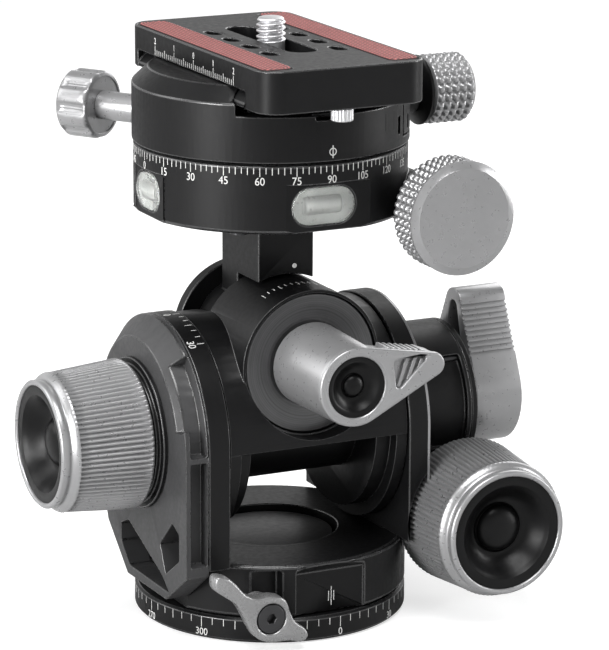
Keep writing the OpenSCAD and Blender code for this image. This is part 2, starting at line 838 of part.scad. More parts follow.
module pitch_block() {
    color(black) difference() {
        union() {
            at_pitch() {
                intersection() {
                    xrod(-block_x, block_x, block_r);
                    block([-block_x, -block_r, -chin], [block_x, block_r, block_r]);
                }
                for (s = [0, 1]) {
                    mirror([s, 0, 0]) {
                        xrod(block_x - flange_w, block_x, block_r - 0.1);
                        xrod(cheek_x, block_x - flange_w + eps, cheek_r);
                    }
                }
                xrod(-cheek_x - eps, cheek_x + eps, barrel_r);
                xrod(-trunnion_x, -block_x + eps, trunnion_r);
            }
            at_roll() yrod(-drum_front, slot_y0, roll_drum_r);
        }
        at_roll() {
            yrod(-block_r - 1, -drum_front, recess_r);
            yrod(-drum_front - 1, -disc_seat, front_disc_r + disc_play);
            yrod(-disc_seat - 1, 0, shaft_r + fit);
            yrod(slot_y0 - roll_wheel_w - 2 * slack - 0.4, slot_y0 + 1, roll_cavity_r);
            yrod(slot_y0, slot_y1 + 1, slot_r);
            intersection() {
                yrod(slot_y0, slot_y1 + 1, swing_r);
                block([-30, 0, 0], [30, 30, 30]);
            }
            yrod(slot_y1, block_r + 1, rear_cap_r);
            for (a = [-150, -90, -30]) {
                rotate([0, -a, 0]) translate([cap_screw_at, 0, 0]) yrod(slot_y1 - 5, slot_y1 + 1, cap_screw_r);
            }
        }
        at_pitch() {
            xrod(-trunnion_x - 1, roll_worm_half + 0.5, roll_worm_bore);
            xrod(0, worm_end + 0.5, worm_shaft_r + fit);
            xrod(pitch_shaft_x0, block_x + 1, shaft_r);
        }
    }
}

module front_disc() {
    color("#3c3d40") at_roll() difference() {
        rotate([90, 0, 0]) zdisc(disc_seat, disc_seat + disc_t_front, front_disc_r, 0.5);
        yrod(-drum_front - 1, -disc_seat + 1, shaft_r + 2 * fit);
    }
}

module rear_cap() {
    color(black) at_roll() difference() {
        yrod(slot_y1, slot_y1 + rear_cap_t, rear_cap_r);
        yrod(slot_y1 - 1, slot_y1 + rear_cap_t + 1, shaft_r + fit);
        for (a = [-150, -90, -30]) {
            rotate([0, -a, 0]) translate([cap_screw_at, 0, 0])
                yrod(slot_y1 - 1, slot_y1 + rear_cap_t + 1, cap_screw_r);
        }
    }
}

module rear_cap_screws() {
    color(steel) at_roll() for (a = [-150, -90, -30]) {
        rotate([0, -a, 0]) translate([cap_screw_at, 0, 0]) yrod(slot_y1 - 4.8, slot_y1 + rear_cap_t, cap_screw_r);
    }
}

module pitch_shaft() {
    color(steel) at_pitch() {
        xrod(pitch_shaft_x0, collar_x0 + collar_t, shaft_r);
        xrod(collar_x0 + collar_t - eps, collar_x0 + collar_t + stud_len, stud_r);
    }
}

module pitch_worm_wheel() {
    color(bronze) at_pitch() difference() {
        union() {
            translate([wheel_x0, 0, 0]) rotate([0, 90, 0]) rotate([0, 0, 180 / gear_teeth])
                linear_extrude(pitch_wheel_w) toothed(pitch_wheel_r, gear_teeth, 1.1);
            xrod(arm_x1 + housing_floor + slack, wheel_x0 + eps, shaft_r + 3);
        }
        xrod(arm_x1, cover_x0 + 1, shaft_r);
    }
}

module lever_collar() {
    color(satin) at_pitch() difference() {
        turned_x() polygon([[0, collar_x0], [collar_r, collar_x0], [collar_r, collar_x0 + collar_t - 0.5],
            [collar_r - 0.5, collar_x0 + collar_t], [0, collar_x0 + collar_t]]);
        xrod(collar_x0 - 1, collar_x0 + collar_t + 1, shaft_r);
    }
}

module worm_sleeve() {
    color(bronze) at_pitch() difference() {
        xrod(-trunnion_x, -roll_worm_half - 1, roll_worm_bore);
        xrod(-trunnion_x - 1, 0, worm_shaft_r + fit);
    }
}

/* ---------- pitch lever ---------- */

groove_w = 0.7;
groove_step = 1.22;
groove_count = 10;
groove_depth = 0.45;
lever_pocket_z = 11.6;
lever_pocket_r = 3.6;
lever_pocket_tip = 1.3;

module pitch_lever() {
    hub = [0, 0];
    tip = [0, lever_reach];
    lean = asin((lever_hub_r - lever_tip_r) / lever_reach);
    color(satin) at_pitch() difference() {
        along_x(lever_x0, lever_x0 + lever_t) link(hub, lever_hub_r, tip, lever_tip_r);
        xrod(lever_x0 - 1, lever_x0 - seam + stud_len + 0.4, stud_r + fit);
        // Tall pocket in the face towards the housing
        along_x(lever_x0 - 1, lever_x0 + lever_t - 3) {
            translate([0, lever_pocket_z]) circle(lever_pocket_r);
            polygon([[-lever_pocket_r, lever_pocket_z], [lever_pocket_r, lever_pocket_z],
                [lever_pocket_tip, lever_reach - 0.2], [-lever_pocket_tip, lever_reach - 0.2]]);
            translate([0, lever_reach - 0.6]) circle(lever_pocket_tip + 0.2);
        }
        // Grooves across the front face
        for (i = [0:groove_count - 1]) {
            drop = 0.6 + i * groove_step;
            translate([0, 0, lever_reach - drop])
                block([lever_x0 - 1, -lever_hub_r - 1, -groove_w / 2], [lever_x0 + lever_t + 1,
                    groove_depth - lever_tip_r / cos(lean) - drop * tan(lean), groove_w / 2]);
        }
    }
}

/* ---------- large knobs ---------- */

// Knob on the Z axis with its back at 0 and its face at knob_len
module large_knob() {
    difference() {
        rotate_extrude() polygon([[0, 0], [knob_r - 0.8, 0], [knob_r, 0.8], [rib_start, knob_len - 4],
            [knob_front_r, knob_len - 2.6], [knob_front_r, knob_len], [0, knob_len]]);
        zrod(knob_len - cup_h, knob_len + 1, cup_r);
        zrod(-1, knob_len, worm_shaft_r);
    }
}

// Black cup: a dish with a dome in its middle
module knob_cup() {
    floor_z = knob_len - cup_h;
    rim = knob_len - 0.3;
    dome = cup_r * 0.42;
    difference() {
        rotate_extrude() {
            polygon([[0, floor_z], [cup_r, floor_z], [cup_r, rim], [cup_r - 0.9, rim],
                [cup_r - 4.4, floor_z + 2.2], [0, floor_z + 2.2]]);
            intersection() {
                translate([0, floor_z + 1.4]) circle(dome);
                translate([0, floor_z]) square([dome, cup_h]);
            }
        }
        zrod(floor_z - 1, floor_z + 0.6, worm_shaft_r);
    }
}

module roll_knob_frame() {
    at_pitch() translate([-roll_knob_x, 0, 0]) rotate([0, -90, 0]) children();
}

module pitch_knob_frame() {
    at_pitch_worm() translate([0, -pitch_knob_y, 0]) rotate([90, 0, 0]) children();
}

module roll_knob() {
    color(satin) roll_knob_frame() large_knob();
}

module roll_knob_cup() {
    color(cup_black) roll_knob_frame() knob_cup();
}

module roll_worm() {
    color(steel) at_pitch() {
        rotate([0, 90, 0]) worm(roll_worm_half, roll_worm_r, 2.5);
        xrod(-roll_knob_x - knob_len + cup_h, worm_end, worm_shaft_r - eps);
    }
}

module pitch_knob() {
    color(satin) pitch_knob_frame() large_knob();
}

module pitch_knob_cup() {
    color(cup_black) pitch_knob_frame() knob_cup();
}

module pitch_worm() {
    color(steel) at_pitch_worm() {
        rotate([90, 0, 0]) worm(worm_half, pitch_worm_r, 2.8);
        yrod(-pitch_knob_y - knob_len + cup_h, barrel_y1 - 0.7, worm_shaft_r);
    }
}

/* ---------- neck and panning ring ---------- */

module neck_screw_places() {
    for (s = [-1, 1], y = [-neck_screw_y, neck_screw_y]) translate([s * neck_screw_x, y, 0]) children();
}

module neck() {
    color(black) difference() {
        union() {
            difference() {
                block([-neck_w / 2, -overhang, roll_z], [neck_w / 2, stem_y + stem_t, ring_z0]);
                at_roll() yrod(-overhang - 1, stem_y, swing_r);
            }
            at_roll() yrod(hub_y0, hub_y1, neck_hub_r);
            zrod(ring_z0 - neck_flange_h, ring_z0, neck_flange_r);
        }
        at_roll() yrod(hub_y0 - 1, hub_y1 + 1, shaft_r);
        neck_screw_places() zrod(ring_z0 - neck_flange_h - 1, ring_z0 + 1, neck_screw_r);
    }
}

module roll_shaft() {
    color(steel) at_roll() {
        yrod(-disc_seat - 1.5, slot_y1 + rear_cap_t - slack, shaft_r);
        yrod(-roll_stud_y, -disc_seat, stud_r);
    }
}

module roll_worm_wheel() {
    color(bronze) at_roll() difference() {
        translate([0, slot_y0 - slack, 0]) rotate([90, 0, 0]) rotate([0, 0, 180 / gear_teeth])
            linear_extrude(roll_wheel_w) toothed(roll_wheel_r, gear_teeth, 1.1);
        yrod(-10, 10, shaft_r);
    }
}

// Front spirit level's outline, standing in the ring's front flat
module front_level(play, y1) {
    translate([front_vial_x, 0, vial_z]) along_y(-ring_flat - 1, y1)
        stadium(front_vial_w + 2 * play, vial_h + 2 * play);
}

module side_level(play, x1) {
    translate([0, side_vial_y, vial_z]) along_x(-side_flat - 1, x1)
        stadium(side_vial_w + 2 * play, vial_h + 2 * play);
}

module panning_ring() {
    flat_z = ring_z1 - scale_h;
    color(black) difference() {
        union() {
            zdisc(ring_z0, ring_z1, ring_r, edge);
            at_pan_worm() yrod(boss_y0, boss_y1, boss_r);
        }
        difference() {
            zrod(ring_z0 + floor_t, ring_z1 + 1, ring_bore);
            zrod(ring_z0, post_z1, post_r);
        }
        block([-ring_r, -ring_r - 1, ring_z0 - 1], [ring_r * 0.36, -ring_flat, flat_z]);
        block([-ring_r - 1, -7.7, ring_z0 - 1], [-side_flat, 7.7, flat_z]);
        front_level(vial_play, -ring_flat + vial_depth);
        side_level(vial_play, -side_flat + vial_depth);
        at_pan_worm() yrod(boss_y0 - 1, pan_worm_half + slack, pan_cavity_r);
        at_pan_worm() yrod(0, boss_y1 - 0.5, pan_shaft_r + fit);
        zrod(ring_z0 - 1, ring_z1, spindle_r + fit);
        zrod(ring_z0 - 1, ring_z0 + retainer_t + 2 * slack, retainer_r + slack);
        neck_screw_places() zrod(ring_z0 - 1, post_z1 - 1.5, neck_screw_r);
    }
}

module neck_screws() {
    z0 = ring_z0 - neck_flange_h;
    color(steel) neck_screw_places() {
        zrod(z0 - 1.4, z0, neck_head_r);
        zrod(z0 - eps, post_z1 - 1.7, neck_screw_r);
    }
}

module front_vial() {
    color(glass) intersection() {
        front_level(0, -ring_flat + vial_depth);
        block([-40, -ring_flat - 0.2, 0], [40, 0, ring_z1]);
    }
}

module side_vial() {
    color(glass) intersection() {
        side_level(0, -side_flat + vial_depth);
        block([-side_flat - 0.2, -40, 0], [0, 40, ring_z1]);
    }
}

module pan_worm_sleeve() {
    color(bronze) at_pan_worm() difference() {
        yrod(boss_y0, -pan_worm_half - slack, pan_cavity_r);
        yrod(boss_y0 - 1, 0, pan_shaft_r + fit);
    }
}

/* ---------- roll lever ---------- */

module roll_lever() {
    tip = polar([0, 0], roll_tip_reach, tip_rise);
    color(satin) at_roll() difference() {
        union() {
            translate([0, -roll_hub_y, 0]) rotate([90, 0, 0])
                cylinder(h = roll_hub_len, r1 = roll_hub_r, r2 = roll_face_r);
            along_y(-roll_face, -roll_face + pointer_t) link([0, 0], roll_face_r, tip, roll_tip_r);
        }
        yrod(-roll_stud_y - 0.4, -roll_hub_y + 1, stud_r + fit);
        yrod(-roll_face - 1, -roll_face + roll_cup_h, roll_cup_r);
        // Window in the pointer and its crossbars
        along_y(-roll_face - 1, -roll_face + 1.5) difference() {
            link(polar([0, 0], 11.4, tip_rise), 2.6, polar([0, 0], roll_tip_reach - 0.6, tip_rise), 0.6);
            circle(roll_face_r + 0.6);
            for (d = [12.4, 14.6]) {
                translate(polar([0, 0], d, tip_rise)) rotate(tip_rise + 60) square([8, 0.6], center = true);
            }
        }
        // Serrations along the top
        rotate([0, -tip_rise, 0]) for (i = [0:6]) {
            translate([9.2 + 1.35 * i, 0, roll_face_r + 0.2 - 0.36 * (9.2 + 1.35 * i - 2)])
                rotate([0, 20, 0]) block([-0.35, -roll_face - 1, 1.1], [0.35, -roll_face + pointer_t + 1, 5]);
        }
    }
}

module roll_lever_cup() {
    face = roll_face - 0.2;
    floor_y = roll_face - roll_cup_h;
    color(cup_black) at_roll() rotate([90, 0, 0]) rotate_extrude() {
        polygon([[0, floor_y], [roll_cup_r, floor_y], [roll_cup_r, face], [roll_cup_r - 1, face],
            [roll_cup_r - 2.4, floor_y + 1], [0, floor_y + 1]]);
        intersection() {
            translate([0, floor_y + 0.2]) circle(2.6);
            translate([0, floor_y]) square([2.6, 3]);
        }
    }
}

/* ---------- pan knob ---------- */

module pan_knob() {
    back = pan_knob_y;
    face = back + pan_knob_len;
    color(satin) at_pan_worm() difference() {
        rotate([90, 0, 0]) rotate_extrude() polygon([[0, back], [pan_knob_r * 0.5, back],
            [pan_knob_r - 1.4, back + pan_knob_len * 0.42], [pan_knob_r, back + pan_knob_len * 0.45],
            [pan_knob_r, face - 1], [pan_knob_r - 1, face], [0, face]]);
        yrod(-face + 3, -back + 1, pan_shaft_r);
    }
}

module pan_worm() {
    color(steel) at_pan_worm() {
        rotate([90, 0, 0]) worm(pan_worm_half, pan_worm_r, 2.4);
        yrod(-pan_knob_y - pan_knob_len + 3, boss_y1 - 0.7, pan_shaft_r);
    }
}

/* ---------- clamp ---------- */

// Half of the dovetail's side, as [x, z] from the bottom up, grown outward by a gap
function flank(g) = [
    [dovetail_w / 2 + g, plate_z0 + lip_h + 0.4 * g],
    [dovetail_neck / 2 + g, plate_z0 + neck_h + 0.4 * g]];

module bevelled_drum(z1) {
    rotate_extrude() polygon([[0, drum_z0], [drum_r - 0.4, drum_z0], [drum_r, drum_z0 + 0.4],
        [drum_r, z1 - 3.4], [drum_r - 3.6, z1], [0, z1]]);
}

module clamp_drum() {
    color(black) difference() {
        union() {
            zrod(drum_z0, drum_z1, drum_r);
            zrod(spigot_z0, drum_z0 + 1, spigot_r);
            zrod(ring_z0 + retainer_t + slack + 0.1, spigot_z0 + 1, spindle_r);
            block([-pad_x, -pad_y, drum_z1 - 1], [pad_x, pad_y, pad_z]);
            // Fixed jaw on the left
            intersection() {
                bevelled_drum(jaw_top);
                mirror([1, 0, 0]) along_y(-drum_r, drum_r) polygon(concat(
                    [[drum_r + 1, drum_z1 - 1], [dovetail_w / 2 + slide_gap, drum_z1 - 1]],
                    flank(slide_gap),
                    [[dovetail_neck / 2 + slide_gap, jaw_top], [drum_r + 1, jaw_top]]));
            }
        }
        block([split_x, -drum_r - 1, split_z], [drum_r + 1, drum_r + 1, drum_z1 + 1]);
        translate([0, 0, clamp_z]) xrod(guide_x0 - 1, split_x + 1, clamp_screw_r + fit);
        for (s = [-1, 1]) {
            translate([0, s * guide_y, guide_z]) xrod(guide_x0, split_x + 1, guide_r);
        }
        at_pan_lock() zrod(23, drum_r + 1, lock_shank_r + fit);
        // Channels in which the plate's stop screws run
        block([-channel_half, -drum_r - 1, pad_z - stop_h - slack],
            [channel_half, -stop_front + stop_r + stop_play, pad_z + 1]);
        block([-channel_half, stop_rear - stop_r - stop_play, pad_z - stop_h - slack],
            [channel_half, drum_r + 1, pad_z + 1]);
        // Slot in the front wall beside the moving jaw
        block([split_x - 2.2, -drum_r, split_z + 1], [split_x - 1.4, -18, split_z + 4.8]);
        around(4, wheel_screw_at) zrod(spigot_z0 - 1, spigot_z0 + 4, hub_screw_r);
    }
}

module pan_worm_wheel() {
    color(bronze) difference() {
        translate([0, 0, wheel_z0]) rotate([0, 0, 180 / pan_teeth])
            linear_extrude(spigot_z0 - wheel_z0) toothed(pan_wheel_r, pan_teeth, 0.9);
        zrod(wheel_z0 - 1, spigot_z0 + 1, post_r + 2 * slack);
        around(4, wheel_screw_at) {
            zrod(wheel_z0 - 1, wheel_z0 + 1.6, hub_head_r);
            zrod(wheel_z0, spigot_z0 + 1, hub_screw_r);
        }
    }
}

module wheel_screws() {
    color(steel) around(4, wheel_screw_at) difference() {
        union() {
            zrod(wheel_z0 + 0.1, wheel_z0 + 1.6, hub_head_r);
            zrod(wheel_z0 + 1.5, spigot_z0 + 3.8, hub_screw_r);
        }
        translate([0, 0, wheel_z0 - 1]) cylinder(h = 2.2, r = 1.1, $fn = 6);
    }
}

module pan_retainer() {
    z0 = ring_z0 + slack;
    color(steel) difference() {
        zrod(z0, z0 + retainer_t, retainer_r);
        zrod(z0 + retainer_t - 1.2, z0 + retainer_t + 1, spindle_r);
    }
    color(steel) zrod(z0 + retainer_t - 1.2, ring_z0 + retainer_t + slack + 0.1, spindle_r);
}

module jaw_guides() {
    color(steel) for (s = [-1, 1]) {
        translate([0, s * guide_y, guide_z]) xrod(guide_x0, guide_x1, guide_r);
    }
}

module pan_lock_knob() {
    r = pan_lock_r;
    color(satin) at_pan_lock() {
        difference() {
            rotate_extrude() polygon([[0, pan_lock_reach], [r - 0.8, pan_lock_reach],
                [r, pan_lock_reach + 0.8], [r, pan_lock_reach + pan_lock_len - 0.8],
                [r - 0.8, pan_lock_reach + pan_lock_len], [0, pan_lock_reach + pan_lock_len]]);
            around(8, r + 0.7) zrod(pan_lock_reach - 1, pan_lock_reach + pan_lock_len + 1, 1.5);
        }
        zrod(drum_r + slack, pan_lock_reach + eps, lock_stem_r);
        zrod(24, drum_r + 1, lock_shank_r);
    }
}

module moving_jaw() {
    x0 = split_x + slack;
    color(black) difference() {
        union() {
            intersection() {
                bevelled_drum(jaw_top);
                along_y(-drum_r, drum_r) polygon(concat(
                    [[drum_r + 1, split_z + slack], [x0, split_z + slack], [x0, drum_z1 + slack],
                    [dovetail_w / 2 + slide_gap, drum_z1 + slack]],
                    flank(slide_gap),
                    [[dovetail_neck / 2 + slide_gap, jaw_top], [drum_r + 1, jaw_top]]));
            }
            translate([0, 0, clamp_z]) xrod(drum_r - 2, jaw_boss_x, clamp_screw_r + 2.6);
        }
        translate([0, 0, clamp_z]) xrod(x0 - 1, jaw_boss_x + 1, clamp_screw_r + fit);
        for (s = [-1, 1]) {
            translate([0, s * guide_y, guide_z]) xrod(x0 - 1, guide_x1 + 0.5, guide_r + fit);
        }
        block([split_x + 2.4, -drum_r, split_z + 1], [split_x + 3.2, -17.4, split_z + 4.2]);
    }
}

module clamp_knob() {
    color(satin) translate([0, 0, clamp_z]) difference() {
        turned_x() polygon([[0, clamp_knob_x], [clamp_knob_r - 0.6, clamp_knob_x],
            [clamp_knob_r, clamp_knob_x + 0.6], [clamp_knob_r, clamp_knob_x + clamp_knob_len - 0.8],
            [clamp_knob_r - 0.8, clamp_knob_x + clamp_knob_len], [0, clamp_knob_x + clamp_knob_len]]);
        xrod(clamp_knob_x - 1, clamp_knob_x + clamp_knob_len - 2, clamp_screw_r);
    }
}

module clamp_collar() {
    x0 = jaw_boss_x + seam;
    color(cup_black) translate([0, 0, clamp_z]) difference() {
        turned_x() polygon([[0, x0], [clamp_knob_r - 2.3, x0], [clamp_knob_r - 0.7, clamp_knob_x], [0, clamp_knob_x]]);
        xrod(x0 - 1, clamp_knob_x + 1, clamp_screw_r);
    }
}

module clamp_screw() {
    color(steel) translate([0, 0, clamp_z])
        xrod(guide_x0, clamp_knob_x + clamp_knob_len - 2, clamp_screw_r);
}

/* ---------- camera plate ---------- */

mid_z = plate_z0 + under_h;
side_slot_len = 5.4;
side_slot_w = 3;
side_slot_step = 9.4;
side_slot_x = 8;

module plate_middle() {
    translate([0, -plate_shift, 0]) children();
}

// Room for the camera screw's washer and head under the plate
recess_top = plate_z0 + 3.4;

module camera_plate() {
    y0 = -plate_len / 2 + front_block;
    y1 = plate_len / 2 - rear_block;
    outer = plate_w / 2 + 1;
    color(black) difference() {
        plate_middle() difference() {
            translate([0, 0, plate_z0]) linear_extrude(plate_t) rounded(plate_w, plate_len, plate_corner);
            for (s = [0, 1]) {
                mirror([s, 0, 0]) along_y(y0, y1) polygon(concat(
                    [[outer, plate_z0 - 1], [dovetail_w / 2, plate_z0 - 1]],
                    flank(0),
                    [[dovetail_neck / 2, mid_z], [outer, mid_z]]));
            }
        }
        translate([0, 0, recess_top - 1]) linear_extrude(plate_t)
            rotate(90) stadium(slot_len, 2 * (camera_screw_r + slide_gap));
        translate([0, 0, plate_z0 - 1]) linear_extrude(recess_top - plate_z0 + 1)
            rotate(90) stadium(slot_len + 2 * washer_r - 2 * camera_screw_r, 2 * (washer_r + slack));
        for (s = [-1, 1], i = [-1.5:1:1.5]) {
            translate([s * side_slot_x, i * side_slot_step - plate_shift, recess_top - 4]) linear_extrude(plate_t + 2)
                rotate(90) stadium(side_slot_len, side_slot_w);
        }
        plate_middle() for (s = [-1, 1]) {
            translate([s * (grip_x + grip_w / 2), 0, plate_z1 - 0.3]) linear_extrude(2)
                rounded(grip_w + 0.1, plate_len - 5, 1.5);
        }
        translate([0, -stop_front, 0]) zrod(plate_z0 - 1, plate_z0 + 5, 1.3);
        translate([0, stop_rear, 0]) zrod(plate_z0 - 1, plate_z0 + 5, 1.3);
    }
}

module grip_strips() {
    color(salmon) plate_middle() for (s = [-1, 1]) {
        translate([s * (grip_x + grip_w / 2), 0, plate_z1 - 0.3]) linear_extrude(grip_t)
            rounded(grip_w, plate_len - 5.1, 1.45);
    }
}

module safety_screws() {
    color(steel) for (y = [-stop_front, stop_rear]) {
        translate([0, y, 0]) {
            zrod(plate_z0 - stop_h, plate_z0, stop_r);
            zrod(plate_z0 - eps, plate_z0 + 5, 1.3);
        }
    }
}

module screw_washer() {
    color(steel) difference() {
        zrod(recess_top - slide_gap - washer_t, recess_top - slide_gap, washer_r);
        zrod(plate_z0, plate_z1, camera_screw_r + washer_play);
    }
}

module camera_screw() {
    head_z = recess_top - slide_gap - washer_t - 0.05;
    tip_z = plate_z1 + camera_screw_h;
    color(steel) difference() {
        union() {
            zrod(head_z - head_t, head_z, washer_r - 1);
            zrod(head_z - eps, plate_z1 + eps, camera_screw_r - shank_relief);
            rotate_extrude() polygon([[0, plate_z1], [camera_screw_r, plate_z1],
                [camera_screw_r, tip_z - 0.5], [camera_screw_r - 0.5, tip_z], [0, tip_z]]);
        }
        block([-washer_r, -0.7, head_z - head_t - 1], [washer_r, 0.7, head_z - head_t + 0.7]);
    }
}

base_disc();
base_hub();
tripod_bush();
hub_cap();
hub_screws();
frame_plate();
left_arm();
right_arm();
truss_arm();
knob_seat_ring();
arm_screws();
trunnion_bushes();
gear_housing();
housing_cover();
housing_screws();
worm_end_cap();
base_lock_lever();
base_lock_screw();
pitch_block();
front_disc();
rear_cap();
rear_cap_screws();
pitch_shaft();
pitch_worm_wheel();
lever_collar();
worm_sleeve();
pitch_lever();
pitch_knob();
pitch_knob_cup();
pitch_worm();
roll_knob();
roll_knob_cup();
roll_worm();
neck();
roll_shaft();
roll_worm_wheel();
panning_ring();
front_vial();
side_vial();
neck_screws();
pan_worm_sleeve();
roll_lever();
roll_lever_cup();
pan_knob();
pan_worm();
clamp_drum();
pan_worm_wheel();
wheel_screws();
pan_retainer();
jaw_guides();
pan_lock_knob();
moving_jaw();
clamp_knob();
clamp_collar();
clamp_screw();
camera_plate();
grip_strips();
safety_screws();
screw_washer();
camera_screw();
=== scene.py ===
"""Finish of a geared tripod head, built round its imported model.

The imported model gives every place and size. Each operator adds the pieces of one part of the
head, and the last one adds the floor, the lamps and the camera.
Sizes are in millimetres until a mesh is made, and in metres from there on.
"""

import json
import math

import bmesh
import bpy
import numpy as np
from bpy.props import FloatProperty, FloatVectorProperty, IntProperty, PointerProperty
from bpy.types import Operator, Panel, PropertyGroup
from mathutils import Matrix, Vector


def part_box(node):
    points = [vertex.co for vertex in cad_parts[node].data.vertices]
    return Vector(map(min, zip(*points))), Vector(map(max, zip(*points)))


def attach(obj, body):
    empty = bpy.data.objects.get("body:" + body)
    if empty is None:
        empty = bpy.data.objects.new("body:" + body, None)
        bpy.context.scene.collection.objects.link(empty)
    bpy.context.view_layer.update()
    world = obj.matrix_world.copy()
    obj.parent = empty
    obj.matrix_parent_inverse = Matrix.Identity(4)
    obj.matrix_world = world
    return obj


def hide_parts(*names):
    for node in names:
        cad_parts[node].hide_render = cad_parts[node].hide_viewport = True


bl_info = {
    "name": "Geared tripod head",
    "version": (1, 0, 0),
    "blender": (4, 5, 0),
    "location": "3D View > Sidebar > Tripod head",
    "description": "Adds the finished pieces of a geared tripod head to its packed model",
    "category": "Add Mesh",
}

MM = 0.001
LEFT, FRONT, RIGHT, UP = (-1, 0, 0), (0, -1, 0), (1, 0, 0), (0, 0, 1)
WHITE = (1, 1, 1, 1)
# Paint lies from just under a surface to just above it, and digits are a little narrowed.
PAINT_LOW, PAINT_HIGH = -0.04, 0.03
DIGIT_WIDTH = 0.92
# Metres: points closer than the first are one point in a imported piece, the second in a made one, and
# an edge shorter than the third is none.
MERGE, SEAM, NO_EDGE = 2e-6, 1e-6, 1e-7
# Degrees over which an edge is rounded, and half the corner in radians that counts as straight on.
BEVEL_ANGLE, STRAIGHT = 32, 1.55
# The frame's flat front face lies here along Y.
FRAME_FLAT = -28.0
# Name, degrees to the right, degrees up, distance and size in metres, and the setting with its power.
LAMPS = (
    ("key_left", -74, 9, 0.75, (0.24, 0.5), "key"),
    ("strip_right", 70, 12, 0.8, (0.14, 0.5), "strip"),
    ("overhead", -30, 66, 0.8, (0.6, 0.4), "overhead"),
    ("rear_left", -122, 30, 0.8, (0.4, 0.6), "rear"),
    ("rear_right", 128, 30, 0.8, (0.4, 0.6), "rear"),
)

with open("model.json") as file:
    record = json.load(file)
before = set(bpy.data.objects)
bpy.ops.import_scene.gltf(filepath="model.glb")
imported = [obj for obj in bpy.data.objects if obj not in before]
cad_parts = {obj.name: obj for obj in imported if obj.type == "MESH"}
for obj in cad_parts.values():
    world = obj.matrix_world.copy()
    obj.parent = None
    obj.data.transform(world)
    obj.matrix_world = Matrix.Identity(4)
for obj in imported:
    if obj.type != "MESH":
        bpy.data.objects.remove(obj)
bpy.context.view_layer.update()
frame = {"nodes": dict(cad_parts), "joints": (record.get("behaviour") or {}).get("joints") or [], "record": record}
BODY_OF = {node: body for body, nodes in frame["record"]["behaviour"]["bodies"].items() for node in nodes}
SLOT_OF = {part["node"]: part["material_slot"] for part in frame["record"]["subparts"]}
JOINT_AT = {joint["name"]: np.array(joint["pos_m"]) / MM for joint in frame["joints"] if "pos_m" in joint}


# ---------- places ----------


def span(node):
    """Lowest and highest corner of a CAD node in millimetres."""
    low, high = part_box(node)
    return np.array(low) / MM, np.array(high) / MM


class Seat:
    """Where a shape is drawn: an origin and the unit directions side, up and out."""

    def __init__(self, origin, out, up=UP):
        out = np.array(out, float) / np.linalg.norm(out)
        up = np.array(up, float) - np.dot(up, out) * out
        up /= np.linalg.norm(up)
        self.origin = np.array(origin, float)
        self.rows = np.array([np.cross(up, out), up, out])

    def place(self, points):
        """Point = origin + a times side + b times up + c times out."""
        return self.origin + points @ self.rows

    def reach(self, node):
        """Nearest and farthest distance of a node along out, and its largest distance from that line."""
        local = (coordinates(frame["nodes"][node].data) / MM - self.origin) @ self.rows.T
        return local[:, 2].min(), local[:, 2].max(), np.hypot(local[:, 0], local[:, 1]).max()


class Skin:
    """A surface to engrave: flat where radius is None, else a cylinder about the direction high."""

    def __init__(self, origin, high, normal, radius=None):
        self.origin = np.array(origin, float)
        self.high = np.array(high, float)
        self.normal = np.array(normal, float)
        self.along = np.cross(self.high, self.normal)
        self.radius = radius

    def place(self, points):
        """A point runs a along the surface, b up it and c proud of it. On a cylinder a is an arc,
        so the point is origin + b high + (r + c)(cos(a/r) normal + sin(a/r) along)."""
        a, b, c = points[..., 0:1], points[..., 1:2], points[..., 2:3]
        if self.radius is None:
            return self.origin + a * self.along + b * self.high + c * self.normal
        bend = a / self.radius
        radial = np.cos(bend) * self.normal + np.sin(bend) * self.along
        return self.origin + b * self.high + (self.radius + c) * radial


# ---------- meshes ----------


def placed(name, data):
    """New object of the data, linked to the scene."""
    made = bpy.data.objects.new(name, data)
    bpy.context.scene.collection.objects.link(made)
    return made


def coordinates(mesh):
    """Every point of a mesh, one row each."""
    flat = np.zeros(3 * len(mesh.vertices))
    mesh.vertices.foreach_get("co", flat)
    return flat.reshape(-1, 3)


